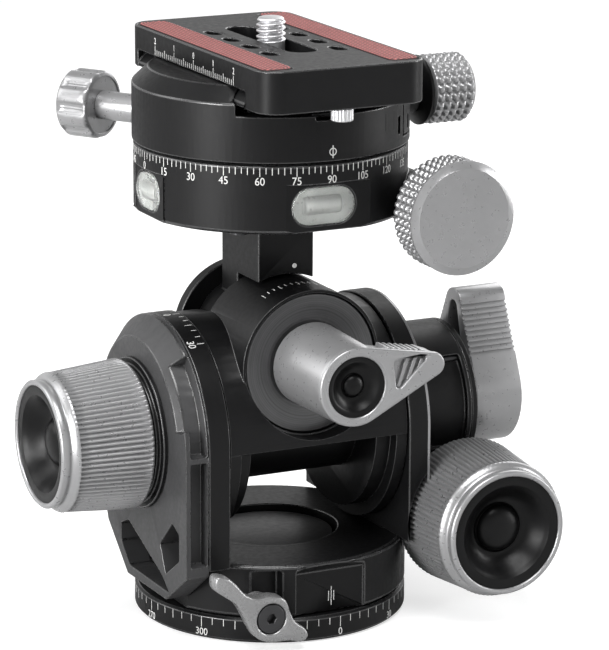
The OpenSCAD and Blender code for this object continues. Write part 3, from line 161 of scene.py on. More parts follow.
class Piece:
    """Points and faces of one object, gathered surface by surface in millimetres."""

    def __init__(self, name):
        self.name = name
        self.points = []
        self.faces = []
        self.finishes = []
        self.count = 0

    def add(self, points, faces, finish=0):
        """Adds points and the faces between them, in one finish or in one finish a face."""
        points = np.asarray(points, float).reshape(-1, 3)
        faces = np.asarray(faces, int)
        self.points.append(points)
        self.faces.extend((faces + self.count).tolist())
        self.finishes.extend(np.broadcast_to(finish, len(faces)).tolist())
        self.count += len(points)

    def grid(self, points, wrap_u=False, wrap_v=False, finish=0):
        """Adds a grid of points, u by v, as quads. A wrapped direction joins its last row to its first."""
        nu, nv = points.shape[:2]
        u = np.arange(nu if wrap_u else nu - 1)[:, None]
        v = np.arange(nv if wrap_v else nv - 1)[None, :]
        u1, v1 = (u + 1) % nu, (v + 1) % nv
        quads = np.stack([u * nv + v, u * nv + v1, u1 * nv + v1, u1 * nv + v], -1)
        marks = finish if np.isscalar(finish) else finish[u, v].ravel()
        self.add(points, quads.reshape(-1, 4), marks)

    def build(self, body, finishes, replaces=(), slot=None, sharp=38):
        """Makes the object, closes its seams, rides it on its body and gives it its finishes."""
        mesh = bpy.data.meshes.new(self.name)
        mesh.from_pydata((np.vstack(self.points) * MM).tolist(), [], self.faces)
        mesh.polygons.foreach_set("material_index", np.array(self.finishes, np.int32))
        made = placed(self.name, mesh)
        bm = bmesh.new()
        bm.from_mesh(mesh)
        bmesh.ops.remove_doubles(bm, verts=bm.verts, dist=SEAM)
        bmesh.ops.dissolve_degenerate(bm, edges=bm.edges, dist=NO_EDGE)
        bmesh.ops.recalc_face_normals(bm, faces=bm.faces)
        bm.to_mesh(mesh)
        bm.free()
        finish_object(made, finishes, sharp)
        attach(made, body)
        if replaces:
            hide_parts(*replaces)
            slot = slot or SLOT_OF[replaces[0]]
        return made


def finish_object(made, finishes, sharp):
    """Sets the materials, and smooth shading with edges over the sharp angle kept hard."""
    made.data.materials.clear()
    for name in finishes:
        made.data.materials.append(material_of(name))
    made.data.shade_smooth()
    made.data.set_sharp_from_angle(angle=math.radians(sharp))


def eased(points, radius, closed=False):
    """Outline with its corners rounded. An arc of the radius touches both sides of a corner, and
    shrinks where it would take more than 45% of a side."""
    points = np.asarray(points, float)
    count = len(points)
    made = []
    for i, corner in enumerate(points):
        if not closed and i in (0, count - 1):
            made.append(corner)
            continue
        before, after = points[i - 1] - corner, points[(i + 1) % count] - corner
        reach = 0.45 * min(np.linalg.norm(before), np.linalg.norm(after))
        before, after = before / np.linalg.norm(before), after / np.linalg.norm(after)
        half = math.acos(np.clip(np.dot(before, after), -1, 1)) / 2
        if half > STRAIGHT:
            made.append(corner)
            continue
        cut = min(radius / math.tan(half), reach)
        middle = (before + after) / np.linalg.norm(before + after)
        centre = corner + middle * cut / math.cos(half)
        start, end = corner + before * cut - centre, corner + after * cut - centre
        sweep = math.pi - 2 * half
        for t in np.linspace(0, 1, 4):
            weight = np.array([math.sin((1 - t) * sweep), math.sin(t * sweep)]) / math.sin(sweep)
            made.append(centre + weight[0] * start + weight[1] * end)
    return np.array(made)


def turn(piece, seat, profile, finish=0, count=120, ripple=None, ring=False):
    """Surface of revolution: a profile of (radius, distance) turned about the seat's out direction.
    Point = r cos t side + r sin t up + h out, with r changed by ripple(t, h, r) where one is given.
    The finish is one number, one for each stretch of the profile, or one for each face."""
    profile = np.asarray(profile, float)
    angle = np.arange(count) * 2 * np.pi / count
    r = profile[:, :1] + 0 * angle
    h = profile[:, 1:] + 0 * angle
    if ripple is not None:
        r = np.maximum(r + ripple(angle[None, :], h, r), 0)
    points = np.stack([r * np.cos(angle), r * np.sin(angle), h], -1)
    if not np.isscalar(finish):
        finish = np.asarray(finish)
        finish = finish if finish.ndim == 2 else np.repeat(finish[:, None], count, 1)
    piece.grid(seat.place(points), wrap_u=ring, wrap_v=True, finish=finish)


def slab(piece, seat, loops, low, high, bevel):
    """Flat outlines, the first one solid and the others holes, raised from low to high with round edges."""
    curve = bpy.data.curves.new("outline", "CURVE")
    curve.dimensions = "2D"
    curve.fill_mode = "BOTH"
    for loop in loops:
        spline = curve.splines.new("POLY")
        spline.points.add(len(loop) - 1)
        flat = np.ones((len(loop), 4))
        flat[:, :2] = loop
        flat[:, 2] = 0
        spline.points.foreach_set("co", flat.ravel())
        spline.use_cyclic_u = True
    curve.extrude = (high - low) / 2 - bevel
    curve.bevel_depth = bevel
    curve.bevel_resolution = 2
    curve.offset = -bevel
    points, faces = curve_mesh(curve)
    points[:, 2] += (high + low) / 2
    add_mixed(piece, seat.place(points), faces)


def curve_mesh(curve):
    """Points and faces of a curve or text, which is then removed."""
    holder = placed("holder", curve)
    bpy.context.view_layer.update()
    mesh = holder.to_mesh()
    points = coordinates(mesh)
    faces = [tuple(polygon.vertices) for polygon in mesh.polygons]
    holder.to_mesh_clear()
    bpy.data.objects.remove(holder)
    return points, faces


def add_mixed(piece, points, faces):
    """Adds points and faces of different numbers of corners, those with the fewest first."""
    start = piece.count
    piece.add(points, [])
    for corners in sorted({len(face) for face in faces}):
        chosen = [face for face in faces if len(face) == corners]
        piece.faces.extend((np.array(chosen) + start).tolist())
        piece.finishes.extend([0] * len(chosen))


def softened(node, width, finish_name, sharp=BEVEL_ANGLE):
    """Copy of a CAD node with its doubles merged, its flat faces made whole and its edges rounded."""
    made = placed(node + "_body", frame["nodes"][node].data.copy())
    bm = bmesh.new()
    bm.from_mesh(made.data)
    bmesh.ops.remove_doubles(bm, verts=bm.verts, dist=MERGE)
    bmesh.ops.dissolve_degenerate(bm, edges=bm.edges, dist=MERGE)
    bmesh.ops.dissolve_limit(bm, angle_limit=math.radians(0.6), verts=bm.verts, edges=bm.edges)
    bm.to_mesh(made.data)
    bm.free()
    made.data.polygons.foreach_set("material_index", np.zeros(len(made.data.polygons), np.int32))
    finish_object(made, [finish_name, "edge"], sharp)
    bevel = made.modifiers.new("edges", "BEVEL")
    bevel.width = width * MM
    bevel.segments = 2
    bevel.limit_method = "ANGLE"
    bevel.angle_limit = math.radians(BEVEL_ANGLE)
    bevel.use_clamp_overlap = False
    bevel.miter_outer = "MITER_ARC"
    bevel.harden_normals = True
    # Bevel faces take the edge finish, a painted highlight along the rounded edges.
    bevel.material = 1
    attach(made, BODY_OF[node])
    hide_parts(node)


def strokes(piece, skin, centres, low, high, width):
    """Engraved lines: boxes at arc centres from low to high, filled with paint just proud of the surface."""
    centres = np.asarray(centres, float)
    low, high = np.broadcast_to(low, centres.shape), np.broadcast_to(high, centres.shape)
    a = centres[:, None] + width / 2 * np.array([-1, 1, 1, -1, -1, 1, 1, -1])
    b = np.where(np.array([0, 0, 1, 1, 0, 0, 1, 1]), high[:, None], low[:, None])
    c = np.array([PAINT_LOW] * 4 + [PAINT_HIGH] * 4) + 0 * a
    box = np.array([[0, 3, 2, 1], [4, 5, 6, 7], [0, 1, 5, 4], [1, 2, 6, 5], [2, 3, 7, 6], [3, 0, 4, 7]])
    faces = (box[None] + 8 * np.arange(len(centres))[:, None, None]).reshape(-1, 4)
    piece.add(skin.place(np.stack([a, b, c], -1)), faces)


def numeral(piece, skin, words, a, b, height):
    """Digits centred at a, with their foot at b, bent with the surface that they are engraved in."""
    text = bpy.data.curves.new("digits", "FONT")
    text.body = words
    text.align_x = "CENTER"
    text.extrude = 0.5
    points, faces = curve_mesh(text)
    points[:, :2] *= height / np.ptp(points[:, 1])
    points[:, 1] -= points[:, 1].min()
    points[:, 0] *= DIGIT_WIDTH
    points[:, 2] = np.where(points[:, 2] > 0, PAINT_HIGH, PAINT_LOW)
    points[:, 0] += a
    points[:, 1] += b
    add_mixed(piece, skin.place(points), faces)


def arc(centre, radius, start, end, steps=24):
    """Points of an arc about a centre, from one angle in degrees to another."""
    angle = np.radians(np.linspace(start, end, steps))
    return np.array(centre) + radius * np.stack([np.cos(angle), np.sin(angle)], -1)


def stadium(width, height):
    """Outline of a slot with round ends, centred."""
    r = height / 2
    return np.vstack([arc((width / 2 - r, 0), r, -90, 90, 14), arc((r - width / 2, 0), r, 90, 270, 14)])


def link(first, r1, second, r2, steps):
    """Outline of two circles and the straight sides that touch both."""
    first, second = np.array(first, float), np.array(second, float)
    way = math.degrees(math.atan2(*(second - first)[::-1]))
    lean = math.degrees(math.acos((r1 - r2) / np.linalg.norm(second - first)))
    return np.vstack([
        arc(first, r1, way + lean, way + 360 - lean, steps),
        arc(second, r2, way - lean, way + lean, steps // 2),
    ])


def smooth_loop(points):
    """Closed curve through the points: on each stretch the cubic whose slope at a point is half the
    way from the point before it to the point after it."""
    p = np.asarray(points, float)
    before, after, later = np.roll(p, 1, 0), np.roll(p, -1, 0), np.roll(p, -2, 0)
    t = np.linspace(0, 1, 6, endpoint=False)[None, :, None]
    p0, p1, m0, m1 = p[:, None], after[:, None], (after - before)[:, None] / 2, (later - p)[:, None] / 2
    curve = (2 * t**3 - 3 * t**2 + 1) * p0 + (t**3 - 2 * t**2 + t) * m0 + (3 * t**2 - 2 * t**3) * p1
    return (curve + (t**3 - t**2) * m1).reshape(-1, 2)


def plateau(phase, flat):
    """One bump a turn of the phase: 1 over the share flat in the middle, 0 at the ends, eased between."""
    d = np.abs((phase % 1) - 0.5) * 2
    t = np.clip((1 - d) / (1 - flat), 0, 1)
    return t * t * (3 - 2 * t)


# ---------- finishes ----------


def add_node(tree, kind, values=None, **choices):
    """New node with the given input values and choices."""
    made = tree.nodes.new("ShaderNode" + kind)
    for name, choice in choices.items():
        setattr(made, name, choice)
    for socket, value in (values or {}).items():
        made.inputs[socket].default_value = value
    return made


def wire(tree, *pairs):
    """Links each output to the input beside it."""
    for source, target in pairs:
        tree.links.new(source, target)


def principled(name):
    """New material and its nodes."""
    material = bpy.data.materials.new(name)
    material.use_nodes = True
    return material, material.node_tree, material.node_tree.nodes["Principled BSDF"]


def noise(tree, size, detail=2.0):
    """Noise on object coordinates whose features are about size millimetres wide."""
    place = add_node(tree, "TexCoord")
    texture = add_node(tree, "TexNoise", {"Scale": 1 / (size * MM), "Detail": detail})
    wire(tree, (place.outputs["Object"], texture.inputs["Vector"]))
    return texture.outputs["Fac"]


def spread(tree, source, low, high, target):
    """Maps the middle of a pattern, 0.3 to 0.7, to a socket's range from low to high."""
    ends = {"From Min": 0.3, "From Max": 0.7, "To Min": low, "To Max": high}
    ranged = add_node(tree, "MapRange", ends)
    wire(tree, (source, ranged.inputs["Value"]), (ranged.outputs["Result"], target))


def tinted(tree, source, dark, light, target):
    """Mixes two colours by a pattern."""
    mix = add_node(tree, "Mix", data_type="RGBA")
    mix.inputs["A"].default_value = (*dark, 1)
    mix.inputs["B"].default_value = (*light, 1)
    spread(tree, source, 0, 1, mix.inputs["Factor"])
    wire(tree, (mix.outputs["Result"], target))


def raised(tree, shader, height, depth):
    """Bump whose full height is depth millimetres."""
    bump = add_node(tree, "Bump", {"Distance": depth * MM})
    wire(tree, (height, bump.inputs["Height"]), (bump.outputs["Normal"], shader.inputs["Normal"]))


def grained(name, colour, metallic, roughness, grain, depth, tone=0.12, shine=0.5):
    """A hard surface: a colour that drifts a little, uneven gloss and a fine grain."""
    material, tree, shader = principled(name)
    colour = np.array(colour)
    tinted(tree, noise(tree, 9.0), colour * (1 - tone), colour * (1 + tone), shader.inputs["Base Color"])
    spread(tree, noise(tree, 1.1, 4.0), roughness * 0.88, roughness * 1.14, shader.inputs["Roughness"])
    shader.inputs["Metallic"].default_value = metallic
    shader.inputs["Specular IOR Level"].default_value = shine
    raised(tree, shader, noise(tree, grain, 3.0), depth)
    return material


def anodised_black(name):
    """Fine-blasted aluminium under a black anodised skin."""
    s = settings()
    return grained(name, s.black, 0.0, s.black_gloss, 0.22, 0.006, shine=s.black_shine)


def polished_edge(name):
    """Rounded edges of the black parts: a painted highlight makes them a little brighter than their faces, and
    they are really smoother.
    """
    return grained(name, settings().edge_black, 0.0, 0.28, 0.2, 0.004, shine=0.7)


def turned_black(name):
    """Finely turned face of the hub under the black skin, made a little paler than the rest by painted sheen."""
    return grained(name, settings().hub, 0.0, 0.4, 0.25, 0.006, shine=0.35)


def anodised_dull(name):
    """The same skin with a coarser blast, on the outer truss."""
    return grained(name, settings().dull, 0.0, 0.5, 0.3, 0.012, shine=0.3)


def satin_aluminium(name):
    """Bead-blasted aluminium, bare and grey."""
    return grained(name, settings().satin, 0.6, settings().satin_gloss, 0.3, 0.0007, tone=0.04)


def shaded_groove(name):
    """Painted shade at the bottom of a knob's grooves: the satin metal made darker than its ridges."""
    return grained(name, settings().groove, 0.5, 0.5, 0.2, 0.008, tone=0.05)


def pale_face(name):
    """Closely turned pale grey face of the pan knob."""
    return grained(name, settings().pale, 0.5, 0.45, 0.3, 0.0005, tone=0.03)


def moulded_black(name):
    """Smooth black moulding of the cups."""
    return grained(name, settings().cup, 0.0, 0.34, 0.35, 0.004, tone=0.2, shine=0.18)


def bright_steel(name):
    """Plated steel of the camera screw and of the stop screws."""
    return grained(name, settings().steel, 1.0, 0.16, 0.9, 0.004, tone=0.04)


def wing_satin(name):
    """Satin of the base's wing lever, a little darker than the knobs."""
    return grained(name, settings().wing_grey, 0.6, 0.28, 0.3, 0.0007, tone=0.05)


def dark_steel(name):
    """Blackened steel of the hex screws."""
    return grained(name, (0.05, 0.05, 0.052), 0.8, 0.35, 0.3, 0.008)


def oiled_bronze(name):
    """Bearing bronze."""
    return grained(name, (0.42, 0.24, 0.09), 1.0, 0.32, 0.4, 0.006, tone=0.1)


def turned_grey(name):
    """Turned disc in the block's front: fine uneven rings round the roll axis over dark grey metal."""
    material, tree, shader = principled(name)
    across = (1, 0, 1)
    axis = [-value * MM for value in JOINT_AT["roll"] * across]
    place = add_node(tree, "TexCoord")
    centre = add_node(tree, "Mapping", {"Location": axis, "Scale": across})
    radius = add_node(tree, "VectorMath", operation="LENGTH")
    fineness = {"Scale": 1 / (0.35 * MM), "Detail": 3}
    rings = add_node(tree, "TexNoise", fineness, noise_dimensions="1D")
    wire(
        tree,
        (place.outputs["Object"], centre.inputs["Vector"]),
        (centre.outputs["Vector"], radius.inputs[0]),
        (radius.outputs["Value"], rings.inputs["W"]),
    )
    dark = np.array(settings().turned)
    tinted(tree, rings.outputs["Fac"], dark * 0.8, dark * 1.2, shader.inputs["Base Color"])
    shader.inputs["Metallic"].default_value = 0.75
    spread(tree, noise(tree, 0.8, 3.0), 0.3, 0.38, shader.inputs["Roughness"])
    raised(tree, shader, rings.outputs["Fac"], 0.01)
    return material


def white_paint(name):
    """Laser-marked white of scales and numerals."""
    return grained(name, settings().marking, 0.0, 0.55, 0.15, 0.004, tone=0.1)


def clear_acrylic(name):
    """Clear body of a spirit level, with faint flow marks."""
    material, tree, shader = principled(name)
    tinted(tree, noise(tree, 2.0), (0.86, 0.88, 0.86), (0.95, 0.96, 0.95), shader.inputs["Base Color"])
    spread(tree, noise(tree, 1.4, 3.0), 0.02, 0.07, shader.inputs["Roughness"])
    shader.inputs["Transmission Weight"].default_value = 0.92
    shader.inputs["IOR"].default_value = 1.49
    raised(tree, shader, noise(tree, 1.6, 1.0), 0.05)
    return material


def level_liquid(name):
    """Liquid in a spirit level's tube, painted dark: painted shade for how the clear tube looks from outside."""
    material, tree, shader = principled(name)
    tinted(tree, noise(tree, 1.5), (0.012, 0.014, 0.012), (0.05, 0.056, 0.05), shader.inputs["Base Color"])
    spread(tree, noise(tree, 1.0), 0.06, 0.12, shader.inputs["Roughness"])
    shader.inputs["Coat Weight"].default_value = 0.8
    return material


def level_silver(name):
    """Bright frosted backing of a spirit level."""
    return grained(name, (0.72, 0.73, 0.71), 0.25, 0.3, 0.6, 0.06, tone=0.2)


def grip_weave(name):
    """Salmon woven rubber: pale thread tops and painted shade in dark red in the gaps, by a pattern that the mesh
    carries.
    """
    material, tree, shader = principled(name)
    thread = add_node(tree, "Attribute", attribute_name="thread")
    mix = add_node(tree, "Mix", data_type="RGBA")
    mix.inputs["A"].default_value = (*settings().grip_dark, 1)
    mix.inputs["B"].default_value = (*settings().grip, 1)
    wire(
        tree,
        (thread.outputs["Fac"], mix.inputs["Factor"]),
        (mix.outputs["Result"], shader.inputs["Base Color"]),
    )
    spread(tree, noise(tree, 0.6, 3.0), 0.62, 0.8, shader.inputs["Roughness"])
    raised(tree, shader, noise(tree, 0.12, 3.0), 0.02)
    return material


FINISHES = {
    "black": anodised_black,
    "dull": anodised_dull,
    "edge": polished_edge,
    "hub": turned_black,
    "satin": satin_aluminium,
    "groove": shaded_groove,
    "pale": pale_face,
    "cup": moulded_black,
    "steel": bright_steel,
    "wing": wing_satin,
    "dark_steel": dark_steel,
    "bronze": oiled_bronze,
    "turned": turned_grey,
    "paint": white_paint,
    "clear": clear_acrylic,
    "liquid": level_liquid,
    "silver": level_silver,
    "weave": grip_weave,
}
SLOT_FINISH = {
    "black_anodised": "black",
    "satin_silver": "satin",
    "black_cup": "cup",
    "steel": "steel",
    "bronze": "bronze",
    "turned_grey": "turned",
    "level_glass": "clear",
    "grip_pad": "weave",
}


def material_of(name):
    """The material of a finish, made when it is first asked for."""
    return bpy.data.materials.get(name) or FINISHES[name](name)


def settings():
    """Colours and gloss chosen in the scene."""
    return bpy.context.scene.tripod_head_finish


def shapes():
    """Sizes chosen in the scene."""
    return bpy.context.scene.tripod_head_shape


# ---------- base and frame ----------


def base_and_frame():
    """Base disc, frame plate, arms, truss and housing, with their edges rounded."""
    edge, base_edge = shapes().edge, 0.15
    softened("base_disc", base_edge, "black")
    softened("frame_plate", edge, "black", 13)
    softened("left_arm", edge, "black")
    softened("right_arm", edge, "black")
    softened("truss_arm", edge, "dull")
    softened("knob_seat_ring", edge, "black")
    softened("gear_housing", edge, "black")
    softened("housing_cover", edge, "black")
    hub()


def hub():
    """Sunk middle of the frame plate, and a fine black ring about it that is painted shade for a groove line."""
    seat = Seat((0, 0, 0), UP, (0, 1, 0))
    near, _, radius = seat.reach("hub_cap")
    top = span("frame_plate")[1][2]
    face = top - shapes().hub_sink
    cap = Piece("sunk_hub")
    turn(cap, seat, eased([(0, near), (radius, near), (radius, face), (0, face + 0.25)], 0.2), count=128)
    # The hub's finish is paler than the black: painted sheen.
    cap.build(BODY_OF["hub_cap"], ["hub"], ["hub_cap"], sharp=40)
    # Thin black ring just proud of the top: painted shade standing in for a fine groove.
    line = Piece("hub_line")
    inner, outer = shapes().hub_line - 0.09, shapes().hub_line + 0.09
    low, high = top - 0.05, top + 0.015
    turn(line, seat, [(inner, low), (outer, low), (outer, high), (inner, high)], count=160, ring=True)
    line.build("frame", ["cup"], slot="black_cup", sharp=60)


def arm_edge():
    """Bare chamfer round the right arm: its outline carried outwards as a thin three-sided rim."""
    low, high = span("right_arm")
    axis = JOINT_AT["pitch"]
    radius = (high[1] - low[1]) / 2 + 0.03
    foot = span("frame_plate")[1][2] + 1.5 - axis[2]
    head = arc((0, 0), radius, 0, 180, 90)
    path = np.vstack([[[radius, foot]], head, [[-radius, foot]]])
    normal = np.vstack([[[1, 0]], head / radius, [[-1, 0]]])
    width = shapes().chamfer
    rim = [(0, high[0] + 0.02), (-width, high[0] + 0.02), (0, high[0] - width)]
    rows = [np.column_stack([path + out * normal, np.full(len(path), x)]) for out, x in rim]
    points = np.stack(rows, 1)
    world = np.stack([points[..., 2], points[..., 0], axis[2] + points[..., 1]], -1)
    piece = Piece("arm_chamfer")
    piece.grid(world, wrap_v=True)
    piece.add(world[[0, -1]], [[0, 1, 2], [5, 4, 3]])
    piece.build("frame", ["satin"], slot="satin_silver")


def base_lock():
    """Wing lever, its outline a smooth loop through chosen points, and its hex screw."""
    seat = Seat(JOINT_AT["base_lock_turn"], FRONT)
    near, far, _ = seat.reach("base_lock_lever")
    wing = [(-12.7, 10.9), (-10.2, 10.5), (-8.3, 8.9), (-6.0, 6.3), (-3.2, 5.0), (0.4, 5.0), (3.3, 3.8),
            (4.6, 0.6), (5.9, -1.6), (7.9, -3.2), (8.7, -5.0), (7.2, -6.2), (4.2, -5.5), (0.2, -5.3),
            (-2.9, -4.2), (-4.7, -1.7), (-6.2, 1.3), (-7.9, 4.1), (-10.7, 6.3), (-12.9, 8.2)]
    bore, boss, head, socket, shank = 3.35, 3.6, 3.2, 1.15, 1.6
    back = far - shapes().wing
    lever = Piece("wing_lever")
    hole = arc((0, 0), bore, 360, 0, 49)[:-1]
    slab(lever, seat, [smooth_loop(wing[::-1]), hole], back, far, 0.6)
    turn(lever, seat, [(0, near), (boss, near), (boss, back + 0.3), (0, back + 0.3)])
    turn(lever, seat, [(0, back + 0.3), (bore + 0.05, back + 0.3), (bore + 0.05, far - 1.9), (0, far - 1.9)])
    lever.build("base_lock", ["wing"], ["base_lock_lever"])
    screw = Piece("wing_screw")
    hexagon = arc((0, 0), socket, 360, 0, 7)[:-1]
    slab(screw, seat, [arc((0, 0), head, 0, 360, 49)[:-1], hexagon], far - 1.7, far - 0.15, 0.25)
    turn(screw, seat, [(0, 2.0), (shank, 2.0), (shank, far - 1.5), (0, far - 1.5)])
    screw.build("base_lock", ["dark_steel"], ["base_lock_screw"])


# ---------- block, neck, ring and clamp ----------


def block_and_neck():
    """Pitching block, its end cap and the neck, with their edges rounded, and the turned disc."""
    edge, recess_edge = shapes().edge, 0.12
    softened("pitch_block", recess_edge, "black")
    softened("rear_cap", edge, "black")
    softened("neck", edge, "black")
    seat = Seat(JOINT_AT["roll"], FRONT)
    near, far, radius = seat.reach("front_disc")
    bore = 6.3
    profile = [(bore, near), (radius, near), (radius, far - 0.35), (radius - 0.35, far), (bore, far - 0.6)]
    disc = Piece("turned_disc")
    turn(disc, seat, eased(profile, 0.1, closed=True), count=160, ring=True)
    disc.build(BODY_OF["front_disc"], ["turned"], ["front_disc"], sharp=25)
    seat = Seat(JOINT_AT["pitch"], RIGHT)
    near, far, radius = seat.reach("lever_collar")
    collar = Piece("bevelled_collar")
    bore = 6.0
    profile = [(bore, near), (radius, near), (radius, far - 0.9), (radius - 1.0, far), (bore, far)]
    turn(collar, seat, eased(profile, 0.12, closed=True), count=160, ring=True)
    collar.build(BODY_OF["lever_collar"], ["satin"], ["lever_collar"])


def ring_and_clamp():
    """Panning ring, turning drum, moving jaw and camera plate, with their edges rounded."""
    edge = shapes().edge
    softened("panning_ring", edge, "black", 13)
    softened("clamp_drum", edge, "black", 13)
    softened("moving_jaw", edge, "black")
    softened("camera_plate", edge, "black")
    collar = Piece("clamp_collar_ring")
    seat = Seat(span_centre("clamp_screw"), RIGHT)
    near, far, _ = seat.reach("clamp_collar")
    end = far - shapes().collar_cut
    rim = seat.reach("clamp_knob")[2]
    cone = [(0, near), (rim - 2.4, near), (rim - 0.55, end - 1.5), (rim - 0.2, end - 1.4), (rim, end - 1.25)]
    cone += [(rim, end - 0.75), (rim - 0.3, end - 0.6), (rim - 1.2, end - 0.55)]
    cone += [(rim - 1.2, far - 0.2), (0, far - 0.2)]
    turn(collar, seat, cone, finish=[0, 0, 1, 1, 1, 1, 1, 0, 0])
    collar.build("clamp_drive", ["cup", "satin"], ["clamp_collar"])


def span_centre(node):
    """Middle of a node's box along Y and Z, at X = 0."""
    low, high = span(node)
    return (0, (low[1] + high[1]) / 2, (low[2] + high[2]) / 2)


def grip_strips():
    """Woven strips: a height field of rounded thread tops in a brick pattern, over a thin base."""
    low, high = span("grip_strips")
    width = shapes().grip_width
    cell = shapes().weave
    depth = high[1] - low[1]
    row_step, fine, corner = 1.35 * cell, 5, 2.2
    columns, rows = int(width / cell), int(depth / row_step)
    u = np.linspace(0, 1, columns * fine + 1)[:, None]
    v = np.linspace(0, 1, rows * fine + 1)[None, :]
    column = np.minimum(u * columns, columns - 1e-6)
    row = v * rows + 0.5 * (np.floor(column) % 2)
    rim = plateau(u, 0.9) * plateau(v, 0.99)
    top = plateau(column, 0.1) * plateau(row, 0.15) * (rim > 0.5)
    y = low[1] + v * depth + 0 * u
    inset = corner_inset(y, low[1], high[1], corner)
    base, foot, rise = high[2] - 0.22, 0.12, 0.1
    for side, x0 in (("left", low[0]), ("right", high[0] - width)):
        x = x0 + inset + u * (width - 2 * inset)
        upper = np.stack([x, y, base + rim * (foot + rise * top)], -1)
        lower = upper.copy()
        lower[..., 2] = low[2]
        strip = Piece("grip_" + side)
        strip.grid(upper)
        strip.grid(lower[::-1])
        for edge in (np.s_[:, 0], np.s_[:, -1], np.s_[0], np.s_[-1]):
            strip.grid(np.stack([upper[edge], lower[edge]]))
        made = strip.build("plate", ["weave"], ["grip_strips"], sharp=180)
        # The thread value is the height of the weave; low places get the grip's painted shade.
        height = (coordinates(made.data)[:, 2] / MM - base - foot) / rise
        thread = made.data.attributes.new("thread", "FLOAT", "POINT")
        thread.data.foreach_set("value", np.clip(height, 0, 1).astype(np.float32))


def corner_inset(y, low, high, corner):
    """How far the side of a strip curves in at y, for round corners of the given radius."""
    d = np.clip(corner - np.minimum(y - low, high - y), 0, corner)
    return corner - np.sqrt(np.clip(corner**2 - d**2, 0, None))


def camera_screw():
    """Threaded camera screw: a ridge that climbs one pitch a turn and fades at the top, over a round
    head with a slot across it."""
    seat = Seat((0, 0, 0), UP, (0, 1, 0))
    low, high = span("camera_screw")
    plate_top = span("camera_plate")[1][2]
    radius = shapes().thread_radius
    pitch = shapes().thread_pitch
    turns, steps = 48, 90
    h = np.linspace(plate_top - 0.6, high[2], steps)[:, None]
    angle = np.arange(turns) * 2 * np.pi / turns
    ridge = plateau(h / pitch - angle / (2 * np.pi), 0.15)
    taper = np.clip((high[2] - h) / 1.1, 0, 1) ** 0.5
    groove = 0.75 * (1 - ridge) * np.clip((high[2] - 0.5 - h) / 0.5, 0, 1)
    r = (radius - groove) * (0.72 + 0.28 * taper)
    points = np.stack([r * np.cos(angle), r * np.sin(angle), h + 0 * angle], -1)
    middle = points[[0, -1]] * (0, 0, 1)
    screw = Piece("camera_screw_thread")
    screw.grid(seat.place(np.concatenate([middle[:1], points, middle[1:]])), wrap_v=True)
    shank, head_r = 3.05, 6.0
    foot, neck = low[2] + 1.2, plate_top - 0.4
    turn(screw, seat, [(0, foot), (shank, foot), (shank, neck), (0, neck)])
    slab(screw, seat, [arc((0, 0), head_r, 0, 360, 61)[:-1]], low[2] + 0.4, low[2] + 1.3, 0.2)
    for side in (-1, 1):
        half = arc((0, 0), head_r - 0.1, 10, 170, 24) * (1, side)
        slab(screw, seat, [half if side > 0 else half[::-1]], low[2], low[2] + 0.5, 0.1)
    screw.build("camera_screw", ["steel"], ["camera_screw"], sharp=50)


def stop_screws():
    """Knurled heads of the plate's stop screws."""
    low, high = span("safety_screws")
    radius, knurls, depth = 2.4, 22, 0.16

    def knurling(t, h, r):
        """Cosine grooves in the rim that start 0.3 mm above the foot."""
        wave = 0.5 + 0.5 * np.cos(knurls * t)
        return (r > radius - 0.2) * -depth * wave * np.clip((h - low[2]) / 0.3, 0, 1)

    piece = Piece("stop_screw_heads")
    top, shank = low[2] + 2.8, 1.3
    for y in (low[1] + radius, high[1] - radius):
        seat = Seat((0, y, 0), UP, (0, 1, 0))
        ring = eased([(0, low[2]), (radius, low[2]), (radius, top), (0, top)], 0.35)
        turn(piece, seat, ring, count=6 * knurls, ripple=knurling)
        turn(piece, seat, [(0, top - 0.2), (shank, top - 0.2), (shank, high[2]), (0, high[2])], count=32)
    piece.build("plate", ["steel"], ["safety_screws"], sharp=60)


# ---------- knobs ----------


